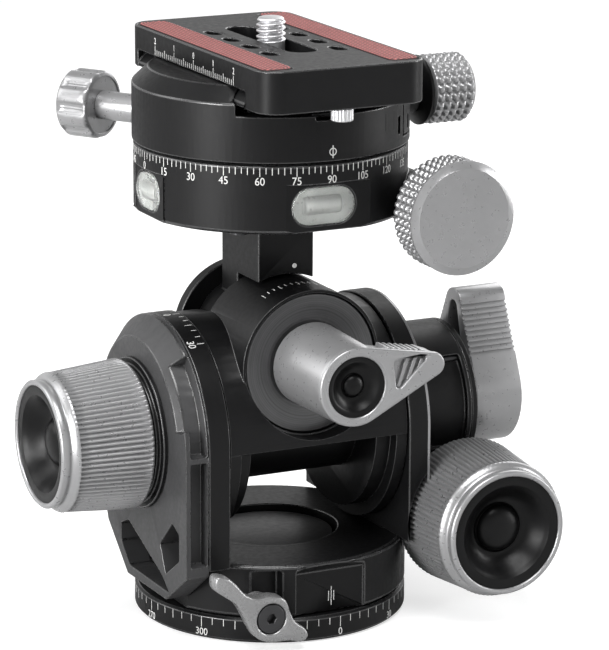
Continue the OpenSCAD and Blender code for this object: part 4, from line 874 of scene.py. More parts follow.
def ribbed_knob(node, cup_node, seat, body):
    """Tapered knob whose skirt has straight ribs that fade out at both ends, with a lipped front."""
    near, far, radius = seat.reach(node)
    s = shapes()
    lip, cup_r = radius - 2.7, radius - 3.8
    band = far - 4.0
    knob = Piece(node + "_skirt")
    rows = np.linspace(near + 0.9, band, 9)
    skirt = [(0, near), (radius - 1.4, near), (radius - 0.45, near + 0.25), (radius - 0.1, near + 0.7)]
    neck = s.knob_neck
    skirt += [(radius - (radius - neck) * (h - near) / (band - near), h) for h in rows]
    skirt += [(neck + 0.1, band + 0.25), (neck - 0.15, band + 0.75), (neck - 0.65, band + 1.25)]
    skirt += [(lip + 0.35, far - 2.45), (lip - 0.1, far - 2.25), (lip - 0.1, far - 1.95)]
    skirt += [(lip + 0.1, far - 1.75)]
    skirt += [(lip + 0.1, far - 0.4), (lip - 0.3, far), (cup_r + 0.25, far), (cup_r, far - 0.25)]
    skirt += [(cup_r, far - 6.9), (0, far - 6.9)]

    def ribs(t, h, r):
        """Cosine grooves to the power 1.6, cut between the back's edge and the end of the skirt."""
        share = np.clip((h - near - 0.5) / 0.35, 0, 1) * np.clip((band + 0.3 - h) / 0.35, 0, 1)
        share = share * (r > lip + 0.5)
        return -s.rib_depth * (0.5 + 0.5 * np.cos(s.rib_count * t)) ** 1.6 * share

    count = s.rib_count * 8
    heights = np.array(skirt)
    cut = ribs(np.arange(count) * 2 * np.pi / count, heights[:, 1:], heights[:, :1])
    # Faces deep in the ribs' grooves get the groove finish, which is painted shade.
    turn(knob, seat, skirt, finish=(cut[:-1] < -0.62 * s.rib_depth).astype(int), count=count, ripple=ribs)
    knob.build(body, ["satin", "groove"], [node], sharp=70)
    dish_r, dome_r = cup_r - 2.3, cup_r * 0.42
    rim, floor = far - 0.45, far - 5.0
    t = np.linspace(0, 1, 14)
    sine, cosine, dome_h = np.sin(t * np.pi / 2), np.cos(t * np.pi / 2), 2.5
    dish_h = rim - 0.35 - (rim - floor - 0.35) * sine**1.2
    dish = np.column_stack([dish_r - (dish_r - dome_r - 0.35) * t, dish_h])
    dome = np.column_stack([(dome_r - 0.15) * cosine, floor + 0.2 + dome_h * sine])[1:]
    edge = [(0, far - 6.8), (cup_r - 0.03, far - 6.8), (cup_r - 0.03, rim), (cup_r - 0.25, rim + 0.1)]
    edge += [(dish_r + 0.2, rim - 0.12)]
    bead = [(dome_r + 0.28, floor + 0.35), (dome_r + 0.12, floor + 0.48), (dome_r - 0.05, floor + 0.35)]
    bead += [(dome_r - 0.1, floor + 0.2)]
    cup = Piece(cup_node + "_dish")
    turn(cup, seat, np.vstack([edge, dish, bead, dome]), count=128)
    cup.build(body, ["cup"], [cup_node], sharp=40)


def large_knobs():
    """Pitch knob at the front right and roll knob on the left."""
    for node, at, out in (("roll_knob", "pitch", LEFT), ("pitch_knob", "pitch_knob_turn", FRONT)):
        ribbed_knob(node, node + "_cup", Seat(JOINT_AT[at], out), BODY_OF[node])


def bumped_knob(piece, seat, back, band, front, shape, rows, columns, finishes):
    """Turned knob with a band of flat-topped bumps between its back and its front profile: the band's
    radius is less by the depth times 1 - p(row) p(column), where p is one plateau a bump.
    The finishes are those of the back, the bumps, the valleys and each stretch of the front; the valleys' finish
    is painted shade between the bumps."""
    (low, high), (radius, depth) = band, shape
    across = 8
    u = np.linspace(0, rows, rows * across + 1)
    levels = low + (high - low) * u / rows
    profile = np.vstack([back, np.column_stack([np.full(len(u), radius), levels]), front])
    count = columns * across
    bump = plateau(u, 0.35)[:, None] * plateau(np.arange(count) / across, 0.35)[None, :]
    height = np.ones((len(profile), count))
    height[len(back):len(back) + len(u)] = bump
    marks = np.zeros((len(profile) - 1, count), int)
    marks[:len(back)] = finishes[0]
    # Faces in the valleys get painted shade, a darker finish than the bumps.
    marks[len(back):len(back) + len(u) - 1] = np.where(bump[:-1] < 0.5, finishes[2], finishes[1])
    marks[len(back) + len(u) - 1:] = np.array(finishes[3:])[:, None]
    turn(piece, seat, profile, finish=marks, count=count, ripple=lambda t, h, r: -depth * (1 - height))


def pan_knob():
    """Flat round knob: turned face with a chamfered rim, and four rows of bumps behind it."""
    seat = Seat(JOINT_AT["pan_knob_turn"], FRONT)
    near, far, radius = seat.reach("pan_knob")
    depth = 0.75
    rim = far - 1.5
    band = near + 0.9
    back = [(0, near), (radius - 2.4, near), (radius - depth - 0.1, band - 0.05)]
    face = [(radius - 0.2, rim + 0.05), (radius, rim + 0.2), (radius, far - 0.75), (radius - 1.5, far - 0.12),
            (radius - 1.62, far), (radius - 1.8, far), (0, far)]
    knob = Piece("pan_knob_bumps")
    # The valleys take the moulded black as painted shade between the bumps.
    marks = [3, 0, 1] + [0] * 6 + [2]
    bumped_knob(knob, seat, back, (band, rim), face, (radius - 0.1, depth), 4, 44, marks)
    knob.build("pan_drive", ["satin", "cup", "pale", "black"], ["pan_knob"], sharp=45)


def clamp_knob():
    """Clamp knob with rows of square bumps."""
    seat = Seat(span_centre("clamp_screw"), RIGHT)
    near, far, radius = seat.reach("clamp_knob")
    depth = 0.7
    near -= shapes().collar_cut
    knob = Piece("clamp_knob_bumps")
    back = [(0, near), (radius - 1.2, near), (radius - depth, near + 0.45)]
    front = [(radius - depth, far - 0.65), (radius - 1.3, far - 0.1), (radius - 1.7, far), (4.2, far),
             (3.9, far - 0.35), (0, far - 0.35)]
    band = (near + 0.5, far - 0.7)
    # The valleys take the moulded black as painted shade between the bumps.
    bumped_knob(knob, seat, back, band, front, (radius, depth), 5, 22, [0, 0, 1] + [0] * 6)
    knob.build("clamp_drive", ["satin", "cup"], ["clamp_knob"], sharp=45)


def pan_lock_knob():
    """Fluted knob: shallow wide flutes with a fine double line between them, on a smooth stem."""
    pan, place = JOINT_AT["pan"], JOINT_AT["pan_lock_turn"]
    seat = Seat((pan[0], pan[1], place[2]), (place[0] - pan[0], place[1] - pan[1], 0))
    near, far, radius = seat.reach("pan_lock_knob")
    head = far - 8.0
    flutes, beside = 8, 0.11

    def scallop(t, h, r):
        """Squared cosine flutes, and a fine line on either side of the middle of each ridge."""
        phase = flutes * t / (2 * np.pi)
        wave = 0.5 + 0.5 * np.cos(2 * np.pi * phase)
        line = plateau(phase + 0.5 - beside, 0.1) ** 24 + plateau(phase + 0.5 + beside, 0.1) ** 24
        share = np.clip((h - head - 0.4) / 0.5, 0, 1) * np.clip((far - 0.35 - h) / 0.5, 0, 1)
        share = share * (r > radius - 0.6)
        return -(0.55 * wave**2 + 0.3 * line) * share

    knob = Piece("fluted_knob")
    rows = np.linspace(head + 0.9, far - 0.9, 6)
    profile = [(0, head + 0.3), (3.1, head + 0.3), (radius - 1.3, head + 0.3), (radius - 1.1, head)]
    profile += [(radius - 0.45, head + 0.2), (radius - 0.1, head + 0.6)]
    profile += [(radius, h) for h in rows]
    profile += [(radius - 0.1, far - 0.55), (radius - 0.5, far - 0.12), (radius - 1.0, far), (0, far)]
    marks = [1, 1, 1] + [0] * (len(profile) - 4)
    turn(knob, seat, profile, finish=marks, count=flutes * 48, ripple=scallop)
    stem, screw, shoulder = 3.2, 2.1, 30.1
    shaft = [(0, near), (screw, near), (screw, shoulder), (stem - 0.1, shoulder + 0.2)]
    shaft += [(stem, shoulder + 0.5), (stem, head + 0.2), (0, head + 0.3)]
    turn(knob, seat, shaft, count=48)
    knob.build("pan_lock", ["satin", "cup"], ["pan_lock_knob"], sharp=55)


# ---------- levers ----------


def roll_lever():
    """Tapered hub with a pointer: a front plate over a back plate with teeth on top. The front plate has
    a window with slanting bars, each given by its distance from the axis and half its length."""
    seat = Seat(JOINT_AT["roll"], FRONT)
    near, far, _ = seat.reach("roll_lever")
    tip_r, hub_r, face_r = 2.6, 9.1, 8.5
    rise = math.radians(9.0)
    way = np.array([math.cos(rise), math.sin(rise)])
    tip = 18.4 * way
    bars = ((11.3, 3.3), (13.3, 2.6), (15.2, 2.0))
    lever = Piece("roll_lever_hub")
    bore, recess = 4.2, 6.6
    shell = [(bore, near), (hub_r - 0.25, near), (hub_r, near + 0.25), (face_r + 0.1, far - 1.2)]
    shell += [(face_r - 0.05, far - 0.5), (face_r - 0.55, far - 0.05), (recess + 0.15, far)]
    shell += [(recess, far - 0.15), (recess, far - 3.0), (bore, far - 3.0)]
    turn(lever, seat, shell, count=128, ring=True)
    front = link((0, 0), face_r, tip, tip_r, 44)
    window = window_outline(rise)
    hole = arc((0, 0), recess + 0.3, 360, 0, 61)[:-1]
    slab(lever, seat, [front, hole, window], far - 1.9, far, 0.45)
    slab(lever, seat, [serrated(face_r - 0.35, tip, tip_r - 0.35), hole], far - 7.0, far - 1.6, 0.2)
    slant = rise + math.radians(62)
    along = np.array([math.cos(slant), math.sin(slant)])
    across = np.array([-along[1], along[0]])
    for distance, half in bars:
        centre = distance * way + (0, 0.15)
        bar = [centre + half * s * along + 0.4 * t * across for s, t in ((-1, -1), (1, -1), (1, 1), (-1, 1))]
        slab(lever, seat, [np.array(bar)], far - 1.9, far - 0.7, 0.12)
    lever.build("roll_lock", ["satin"], ["roll_lever"], sharp=40)
    face = far - 0.35
    t = np.linspace(0, 1, 10)
    profile = [(0, far - 2.9), (recess - 0.03, far - 2.9), (recess - 0.03, face)]
    profile += [(6.3, face + 0.05), (5.5, face - 0.1)]
    profile += [(5.3 - 2.6 * a, face - 0.25 - 1.55 * math.sin(a * math.pi / 2)) for a in t]
    profile += [(2.6, face - 1.6), (2.5, face - 1.5), (2.4, face - 1.6)]
    profile += [(2.35 * math.cos(a * math.pi / 2), face - 1.65 + 1.3 * math.sin(a * math.pi / 2)) for a in t]
    cup = Piece("roll_lever_dish")
    turn(cup, seat, profile, count=96)
    cup.build("roll_lock", ["cup"], ["roll_lever_cup"])


def window_outline(rise):
    """Three-cornered window of the pointer with round corners."""
    corners = np.array([[9.3, 3.2], [16.6, 2.7], [16.9, 1.7], [10.1, -3.0], [9.1, -2.6]])
    c, s = math.cos(rise), math.sin(rise)
    return eased(corners @ np.array([[c, s], [-s, c]]), 0.6, closed=True)[::-1]


def serrated(hub_r, tip, tip_r):
    """Pointer outline whose upper side carries a row of teeth between the hub and the tip."""
    outline = link((0, 0), hub_r, tip, tip_r, 44)
    top = outline[-1], outline[0]
    along = (top[1] - top[0]) / np.linalg.norm(top[1] - top[0])
    out = np.array([along[1], -along[0]])
    first, last, count = 2.0, 11.6, 7
    crest, root = 0.45, -0.375
    step = (last - first) / count
    tooth = ((0.12, crest), (0.5 * step, crest), (0.62 * step, root), (step, root))
    teeth = [top[0] + (first + i * step + s) * along + d * out for i in range(count) for s, d in tooth]
    return np.vstack([outline, teeth])


def pitch_lever():
    """Tall lever: link outline with a row of grooves in its front side, and a pocket in its inner face."""
    seat = Seat(JOINT_AT["pitch"], RIGHT)
    near, far, _ = seat.reach("pitch_lever")
    hub_r, tip_r, reach = 12.0, 3.7, 20.3
    s = shapes()
    outline = link((0, 0), hub_r, (0, reach), tip_r, 60)
    lean = math.asin((hub_r - tip_r) / reach)
    way = np.array([-math.cos(lean), math.sin(lean)])
    start, end = hub_r * way, tip_r * way + (0, reach)
    length = np.linalg.norm(end - start)
    along = (end - start) / length
    inward = np.array([along[1], -along[0]])
    notches = []
    for i in range(s.groove_count):
        low_side = length - 0.5 - (i + 1) * s.groove_step
        high_side = low_side + s.groove_width
        for place, depth in ((high_side, 0), (high_side, 1), (low_side, 1), (low_side, 0)):
            notches.append(start + place * along + depth * s.groove_depth * inward)
    outline = np.vstack([outline, notches])
    foot, top, lap = (0, 11.0), (0, reach - 0.7), 0.05
    pocket = link(foot, 3.9, top, 1.6, 30)[::-1]
    floor = link(foot, 3.9 + lap, top, 1.6 + lap, 30)
    lever = Piece("pitch_lever_body")
    slab(lever, seat, [outline, pocket], near, far, 0.18)
    slab(lever, seat, [floor], far - 3.4, far - 0.6, 0.15)
    lever.build("pitch_lock", ["satin"], ["pitch_lever"], sharp=40)


# ---------- spirit levels ----------


def spirit_level(node, name, face):
    """Clear stadium block over a bright tray, with a tube of liquid, two lines and a bubble in it.
    The bubble is an ellipsoid: its profile is (r cos t, l sin t)."""
    low, high = span(node)
    out = np.array(face, float)
    depth = abs((high - low) @ out)
    seat = Seat((low + high) / 2 + out * depth / 2, out)
    length, height, _ = abs(seat.rows @ (high - low))
    level = Piece(name)
    slab(level, seat, [stadium(length, height)], -1.9, -0.05, 0.45)
    level.build("neck", ["clear"], [node], slot="level_glass")
    tray = Piece(name + "_tray")
    slab(tray, seat, [stadium(length - 0.1, height - 0.1)], -depth + 0.05, -2.1, 0.1)
    tube_r, tube_l, tube_c = height * 0.24, length * 0.6, -2.0
    tube_seat = Seat(seat.place(np.array([[-tube_l / 2, 0, tube_c]]))[0], seat.rows[0], out)
    tube = eased([(0, 0), (tube_r, 0), (tube_r, tube_l), (0, tube_l)], tube_r * 0.35)
    # The tube takes the liquid finish, whose darkness is painted shade.
    turn(tray, tube_seat, tube, finish=1, count=48)
    for at in (tube_l * 0.34, tube_l * 0.62):
        band = [(tube_r - 0.1, at), (tube_r - 0.1, at + 0.3), (tube_r + 0.03, at + 0.3), (tube_r + 0.03, at)]
        turn(tray, tube_seat, band, finish=2, count=48, ring=True)
    centre = np.array([[-tube_l * 0.04, tube_r * 0.35, tube_c + tube_r * 0.5]])
    bubble = Seat(seat.place(centre)[0], seat.rows[0], out)
    t = np.linspace(-np.pi / 2, np.pi / 2, 16)
    bubble_r, bubble_l = 0.7, 1.4
    turn(tray, bubble, np.stack([bubble_r * np.cos(t), bubble_l * np.sin(t)], -1), count=32)
    tray.build("neck", ["silver", "liquid", "cup"], slot="level_glass", sharp=60)


def spirit_levels():
    """Level in the ring's front flat and level in its left flat."""
    spirit_level("front_vial", "front_level", FRONT)
    spirit_level("side_vial", "side_level", LEFT)


# ---------- scales ----------


def ring_scale(name, skin, body, step, label_every, zero, top, lengths, label_b, label_height, width):
    """Ticks round a cylinder that hang from one height, with numerals under some of them.
    A tick's arc is its angle less zero, times the radius. Its length follows what its angle divides by."""
    piece = Piece(name)
    angles = np.arange(0, 360, step)
    arcs = np.radians(((angles - zero + 180) % 360) - 180) * skin.radius
    tiers = np.zeros(len(angles))
    for divisor, tier in lengths:
        tiers[angles % divisor == 0] = tier
    strokes(piece, skin, arcs, top - tiers, top, width)
    for angle in np.arange(0, 360, label_every):
        a = math.radians(((angle - zero + 180) % 360) - 180) * skin.radius
        numeral(piece, skin, str(int(angle)), a, label_b, label_height)
    piece.build(body, ["paint"], slot="satin_silver", sharp=60)


def scales():
    """Lower and upper degree scales, arm scale, roll ticks, plate ruler and index marks."""
    s = shapes()
    high = span("base_disc")[1]
    base = Skin((0, 0, 0), UP, FRONT, high[0])
    ring_scale("lower_scale", base, "base", 5, 30, -s.lower_zero, high[2] - 0.65,
               [(5, 1.5), (15, 1.9), (30, 2.3)], 0.75, 1.55, 0.14)
    top = span("panning_ring")[1][2]
    ring = Skin((0, 0, 0), UP, FRONT, s.ring_radius)
    ring_scale("upper_scale", ring, "neck", 2.5, 15, 90, top - 0.62,
               [(2.5, 1.3), (5, 1.55), (15, 1.9)], top - 4.35, 1.65, 0.16)
    index_marks()
    arm_scale()
    plate_ruler()


def index_marks():
    """Lines on the frame's front flat, ringed line on the drum with painted shade in its slot, dot on the neck
    and ticks on the block."""
    flat = Skin((0, FRAME_FLAT, 0), UP, FRONT)
    marks = Piece("frame_index")
    places, feet, tops = (0.64, 1.26, 1.88), (8.1, 7.0, 8.1), (10.3, 11.3, 10.3)
    strokes(marks, flat, places, feet, tops, 0.17)
    marks.build("frame", ["paint"], slot="satin_silver", sharp=60)
    drum_r = span("clamp_drum")[1][1]
    drum = Skin((0, 0, 0), UP, FRONT, drum_r)
    symbol = Piece("drum_index")
    middle = span("panning_ring")[1][2] + 2.35
    strokes(symbol, drum, [0], middle - 1.35, middle + 1.35, 0.2)
    ringed = np.stack([arc((0, middle), 0.85, 0, 360, 33)[:-1], arc((0, middle), 0.65, 0, 360, 33)[:-1]])
    section = ((0, PAINT_LOW), (0, PAINT_HIGH), (1, PAINT_HIGH), (1, PAINT_LOW))
    rows = [np.column_stack([ringed[i], np.full(32, c)]) for i, c in section]
    symbol.grid(drum.place(np.stack(rows)), wrap_u=True, wrap_v=True)
    symbol.build("drum", ["paint"], slot="satin_silver", sharp=60)
    # Painted shade: a black box where the drum's slot is, standing in for its shadowed inside.
    dark = Piece("drum_slot")
    slot_at, slot_foot, slot_top, slot_width = 31.6, 109.6, 113.6, 3.6
    strokes(dark, drum, [math.radians(slot_at) * drum_r], slot_foot, slot_top, slot_width)
    dark.build("drum", ["cup"], slot="black_cup", sharp=60)
    dot_seat = Seat((0, span("neck")[0][1], 79.0), FRONT)
    dot = Piece("neck_dot")
    turn(dot, dot_seat, [(0, -0.05), (0.52, -0.05), (0.52, 0.02), (0.4, 0.05), (0, 0.05)], count=32)
    dot.build("neck", ["paint"], slot="satin_silver")
    roll = JOINT_AT["roll"]
    barrel_r = shapes().roll_drum_radius
    barrel = Skin(roll, (0, 1, 0), UP, barrel_r)
    ticks = Piece("roll_ticks")
    angles = np.arange(-30, 31, 5)
    ends = np.where(angles % 15 == 0, -14.6, -14.0)
    strokes(ticks, barrel, np.radians(angles) * barrel_r, ends - roll[1], -12.6 - roll[1], 0.2)
    ticks.build("block", ["paint"], slot="satin_silver", sharp=60)


def arm_scale():
    """Ticks across the left arm's rim, from its inner edge outwards, and a numeral every 30 degrees. The
    scale's zero is one degree off the top."""
    low, high = span("left_arm")
    axis = JOINT_AT["pitch"]
    radius = (high[1] - low[1]) / 2
    rim = Skin((high[0], 0, axis[2]), RIGHT, UP, radius)
    piece = Piece("arm_scale")
    zero = 1.0
    marks = np.arange(-90, 31, 5)
    feet = np.where(marks % 15 == 0, -2.2, -1.75)
    strokes(piece, rim, np.radians(marks + zero) * radius, feet, -0.55, 0.15)
    for mark in range(-90, 31, 30):
        numeral(piece, rim, str(abs(mark)), math.radians(mark + zero) * radius, -4.3, 1.7)
    piece.build("frame", ["paint"], slot="satin_silver", sharp=60)


def plate_ruler():
    """Centimetre ruler on the plate's left side: millimetre ticks and the digits 2 1 0 1 2."""
    low, high = span("camera_plate")
    side = Skin((low[0], 0, 0), UP, LEFT)
    foot = high[2] - 5.0
    piece = Piece("plate_ruler")
    steps = np.arange(-20, 21)
    lengths = np.where(steps % 10 == 0, 2.1, np.where(steps % 5 == 0, 1.7, 1.15))
    middle = (low[1] + high[1]) / 2
    strokes(piece, side, -(steps + middle), foot, foot + lengths, 0.16)
    for step in range(-2, 3):
        numeral(piece, side, str(abs(step)), -(10.0 * step + middle), foot + 2.4, 1.35)
    piece.build("plate", ["paint"], slot="satin_silver", sharp=60)


# ---------- what stays as it was packed ----------


def plain_nodes():
    """Gives every CAD node that still shows the finish of its material slot."""
    for name, node in frame["nodes"].items():
        node.data.materials.clear()
        dark = name.endswith("_screws") and SLOT_OF[name] == "steel"
        node.data.materials.append(material_of("dark_steel" if dark else SLOT_FINISH[SLOT_OF[name]]))
        node.data.polygons.foreach_set("material_index", np.zeros(len(node.data.polygons), np.int32))


# ---------- stage ----------


def stage():
    """Floor, backdrop light, lamps and the camera at the photograph's place."""
    scene = bpy.context.scene
    scene.view_settings.view_transform = "Standard"
    s = scene.tripod_head_stage
    make_floor(s)
    make_world(s)
    middle = np.array([0.0, 0.0, 0.066])
    for name, azimuth, elevation, distance, size, setting in LAMPS:
        lamp = bpy.data.lights.new(name, "AREA")
        lamp.shape = "RECTANGLE"
        lamp.size, lamp.size_y = size
        lamp.energy = getattr(s, setting)
        aim(placed(name, lamp), middle + distance * heading(azimuth, elevation), middle)
    data = bpy.data.cameras.new("camera")
    data.lens, data.sensor_width = s.lens, 36.0
    data.shift_x = s.shift
    data.clip_start, data.clip_end = 0.05, 20.0
    camera = placed("camera", data)
    target = np.array([0.0, 0.0, s.target * MM])
    way = heading(s.azimuth, s.elevation)
    aim(camera, target + s.distance * MM * way, target, math.radians(s.roll))
    scene.camera = camera


def heading(azimuth, elevation):
    """Unit direction: degrees from the front towards the right, and degrees up."""
    a, e = math.radians(azimuth), math.radians(elevation)
    return np.array([math.sin(a) * math.cos(e), -math.cos(a) * math.cos(e), math.sin(e)])


def aim(holder, place, target, roll=0.0):
    """Puts an object at a place, looking at the target with its top up, then rolls it about its view."""
    back = np.array(place) - np.array(target)
    back /= np.linalg.norm(back)
    side = np.cross((0, 0, 1), back)
    side /= np.linalg.norm(side)
    top = np.cross(back, side)
    turned = Matrix(np.column_stack([side, top, back]).tolist()).to_4x4()
    holder.matrix_world = Matrix.Translation(list(map(float, place))) @ turned @ Matrix.Rotation(roll, 4, "Z")


def make_floor(s):
    """Wide pale floor that looks white to the camera and keeps the shadow."""
    size, below = 6.0, -0.0002
    mesh = bpy.data.meshes.new("floor")
    corners = [(x * size, y * size, below) for x, y in ((-1, -1), (1, -1), (1, 1), (-1, 1))]
    mesh.from_pydata(corners, [], [(0, 1, 2, 3)])
    floor = placed("floor", mesh)
    material, tree, shader = principled("floor")
    tinted(tree, noise(tree, 60.0), (0.5, 0.5, 0.5), (0.52, 0.52, 0.52), shader.inputs["Base Color"])
    shader.inputs["Roughness"].default_value = 0.9
    path = add_node(tree, "LightPath")
    glow = add_node(tree, "Math", {1: s.floor_glow}, operation="MULTIPLY")
    shader.inputs["Emission Color"].default_value = WHITE
    wire(
        tree,
        (path.outputs["Is Camera Ray"], glow.inputs[0]),
        (glow.outputs["Value"], shader.inputs["Emission Strength"]),
    )
    mesh.materials.append(material)


def make_world(s):
    """White to the camera and in reflections near the horizon, darker overhead, and dimmer as plain light."""
    world = bpy.data.worlds.new("studio")
    bpy.context.scene.world = world
    world.use_nodes = True
    tree = world.node_tree
    tree.nodes.clear()
    place = add_node(tree, "TexCoord")
    parts = add_node(tree, "SeparateXYZ")
    ramp = add_node(tree, "ValToRGB")
    level, up = ramp.color_ramp.elements
    level.position, level.color = 0.2, WHITE
    up.position, up.color = 0.65, (s.ceiling, s.ceiling, s.ceiling, 1)
    seen = add_node(tree, "Background")
    lit = add_node(tree, "Background", {"Color": WHITE, "Strength": s.fill})
    path = add_node(tree, "LightPath")
    either = add_node(tree, "Math", operation="MAXIMUM")
    any_of = add_node(tree, "Math", operation="MAXIMUM")
    mix = add_node(tree, "MixShader")
    out = add_node(tree, "OutputWorld")
    wire(
        tree,
        (place.outputs["Generated"], parts.inputs["Vector"]),
        (parts.outputs["Z"], ramp.inputs["Fac"]),
        (ramp.outputs["Color"], seen.inputs["Color"]),
        (path.outputs["Is Camera Ray"], either.inputs[0]),
        (path.outputs["Is Glossy Ray"], either.inputs[1]),
        (either.outputs["Value"], any_of.inputs[0]),
        (path.outputs["Is Transmission Ray"], any_of.inputs[1]),
        (any_of.outputs["Value"], mix.inputs["Fac"]),
        (lit.outputs["Background"], mix.inputs[1]),
        (seen.outputs["Background"], mix.inputs[2]),
        (mix.outputs["Shader"], out.inputs["Surface"]),
    )


# ---------- add-on ----------


def colour_value(name, value):
    """A colour, linear from 0 to 1."""
    limits = {"size": 3, "min": 0, "max": 1}
    return FloatVectorProperty(name=name, description=name, subtype="COLOR", default=value, **limits)


def length_value(name, value, low, high):
    """A length in millimetres."""
    return FloatProperty(name=name, description=name + " in millimetres", default=value, min=low, max=high)


def share_value(name, words, value):
    """A number from 0 to 1."""
    return FloatProperty(name=name, description=words, default=value, min=0, max=1)


def power_value(name, words, value):
    """The power of a lamp."""
    words = "Power of " + words + " in watts"
    return FloatProperty(name=name, description=words, default=value, min=0, unit="POWER")


def number_value(name, words, value, low=-360.0, high=360.0):
    """A plain number."""
    return FloatProperty(name=name, description=words, default=value, min=low, max=high)


def count_value(name, words, value, low, high):
    """A whole number."""
    return IntProperty(name=name, description=words, default=value, min=low, max=high)


class TripodHeadFinish(PropertyGroup):
    """Colours and gloss of the finishes."""

    black: colour_value("Anodised black", (0.0035, 0.0035, 0.0038))
    black_gloss: share_value("Black roughness", "Roughness of the anodised skin", 0.42)
    black_shine: share_value("Black shine", "Specular level of the anodised skin", 0.2)
    dull: colour_value("Blasted black of the truss", (0.035, 0.035, 0.036))
    # Painted highlight on the rounded edges of the black parts.
    edge_black: colour_value("Edges of the black parts", (0.018, 0.018, 0.0185))
    # Painted sheen: the hub's black made paler.
    hub: colour_value("Turned black of the hub", (0.05, 0.05, 0.051))
    satin: colour_value("Satin aluminium", (0.31, 0.31, 0.315))
    # Painted shade for the bottoms of the ribs' grooves.
    groove: colour_value("Bottom of the grooves", (0.04, 0.04, 0.041))
    satin_gloss: share_value("Satin roughness", "Roughness of the bare metal", 0.3)
    pale: colour_value("Face of the pan knob", (0.45, 0.45, 0.455))
    wing_grey: colour_value("Wing lever", (0.26, 0.26, 0.262))
    cup: colour_value("Moulded black", (0.003, 0.003, 0.0032))
    steel: colour_value("Plated steel", (0.50, 0.50, 0.51))
    turned: colour_value("Turned disc", (0.10, 0.10, 0.102))
    marking: colour_value("Scale markings", (0.6, 0.6, 0.59))
    grip: colour_value("Grip thread", (0.5, 0.16, 0.15))
    # Painted shade in the gaps of the weave.
    grip_dark: colour_value("Grip gaps", (0.03, 0.005, 0.005))


class TripodHeadShape(PropertyGroup):
    """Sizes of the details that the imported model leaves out."""

    edge: length_value("Rounding of the black parts' edges", 0.3, 0.05, 0.5)
    hub_sink: length_value("How far the hub lies below the frame's top", 1.4, 0.0, 3.0)
    hub_line: length_value("Radius of the line round the hub", 16.4, 15.0, 20.0)
    chamfer: length_value("Bare chamfer of the right arm", 0.55, 0.2, 1.0)
    wing: length_value("Thickness of the wing lever", 3.9, 2.0, 4.0)
    knob_neck: length_value("Radius of a large knob where its ribs end", 15.1, 14.0, 16.0)
    rib_count: count_value("Ribs", "Ribs round a large knob", 88, 40, 140)
    rib_depth: length_value("Depth of the ribs", 0.62, 0.1, 0.8)
    groove_count: count_value("Grooves", "Grooves in the pitch lever", 10, 4, 14)
    groove_step: length_value("Step of the grooves", 1.22, 0.8, 2.0)
    groove_width: length_value("Width of a groove", 0.72, 0.3, 1.5)
    groove_depth: length_value("Depth of a groove", 0.55, 0.2, 1.0)
    collar_cut: length_value("How far the clamp knob covers its collar", 2.3, 0.0, 3.0)
    grip_width: length_value("Width of a grip strip", 7.0, 4.0, 8.0)
    weave: length_value("Pitch of the weave", 0.82, 0.3, 1.5)
    thread_radius: length_value("Radius of the camera thread", 3.15, 2.5, 3.3)
    thread_pitch: length_value("Pitch of the camera thread", 1.27, 0.8, 2.0)
    lower_zero: number_value("Lower zero", "Degrees from the front to the lower scale's zero", 5.0)
    ring_radius: length_value("Radius of the panning ring", 29.7, 28.0, 31.0)
    roll_drum_radius: length_value("Radius of the barrel with the roll ticks", 16.2, 15.0, 17.0)


class TripodHeadStage(PropertyGroup):
    """Camera and light."""

    key: power_value("Key", "the large left lamp", 7.0)
    strip: power_value("Strip", "the narrow right lamp", 3.0)
    overhead: power_value("Overhead", "the top lamp", 7.5)
    rear: power_value("Rear", "each rear lamp", 2.5)
    fill: share_value("Fill", "Strength of the plain light all round", 0.32)
    ceiling: share_value("Ceiling", "Brightness overhead in reflections", 0.16)
    floor_glow: share_value("Floor glow", "What the camera sees added to the floor", 0.62)
    azimuth: number_value("Azimuth", "Camera's place in degrees from the front to the right", -25.7)
    elevation: number_value("Elevation", "Camera's height in degrees", 14.454)
    distance: length_value("Camera distance", 768.8, 200.0, 3000.0)
    target: length_value("Height that the camera looks at", 63.04, 0.0, 200.0)
    roll: number_value("Roll", "Camera's roll in degrees", 0.13)
    lens: number_value("Lens", "Focal length in millimetres", 194.6, 20, 400)
    shift: number_value("Shift", "Shift of the view to the right", 0.0528, -0.2, 0.2)


class TRIPOD_HEAD_OT_base(Operator):
    """Softens the base, the frame, the arms and the housing, and adds the bare chamfer."""

    bl_idname = "tripod_head.base"
    bl_label = "Base, frame, arms and housing"

    def execute(self, context):
        base_and_frame()
        arm_edge()
        return {"FINISHED"}


class TRIPOD_HEAD_OT_wing(Operator):
    """Adds the wing lever and its hex screw."""

    bl_idname = "tripod_head.wing"
    bl_label = "Wing lever of the base"

    def execute(self, context):
        base_lock()
        return {"FINISHED"}


class TRIPOD_HEAD_OT_block(Operator):
    """Softens the block and the neck, and adds the turned disc and the collar."""

    bl_idname = "tripod_head.block"
    bl_label = "Pitching block, neck and turned disc"

    def execute(self, context):
        block_and_neck()
        return {"FINISHED"}


class TRIPOD_HEAD_OT_clamp(Operator):
    """Softens the ring and the clamp, and adds strips, thread and stop screws."""

    bl_idname = "tripod_head.clamp"
    bl_label = "Panning ring, drum, jaw and camera plate"

    def execute(self, context):
        ring_and_clamp()
        grip_strips()
        camera_screw()
        stop_screws()
        return {"FINISHED"}


class TRIPOD_HEAD_OT_large_knobs(Operator):
    """Adds the roll knob and the pitch knob with their cups."""

    bl_idname = "tripod_head.large_knobs"
    bl_label = "The two large ribbed knobs"

    def execute(self, context):
        large_knobs()
        return {"FINISHED"}


class TRIPOD_HEAD_OT_small_knobs(Operator):
    """Adds the three small knobs."""

    bl_idname = "tripod_head.small_knobs"
    bl_label = "Pan knob, clamp knob and pan lock knob"

    def execute(self, context):
        pan_knob()
        clamp_knob()
        pan_lock_knob()
        return {"FINISHED"}


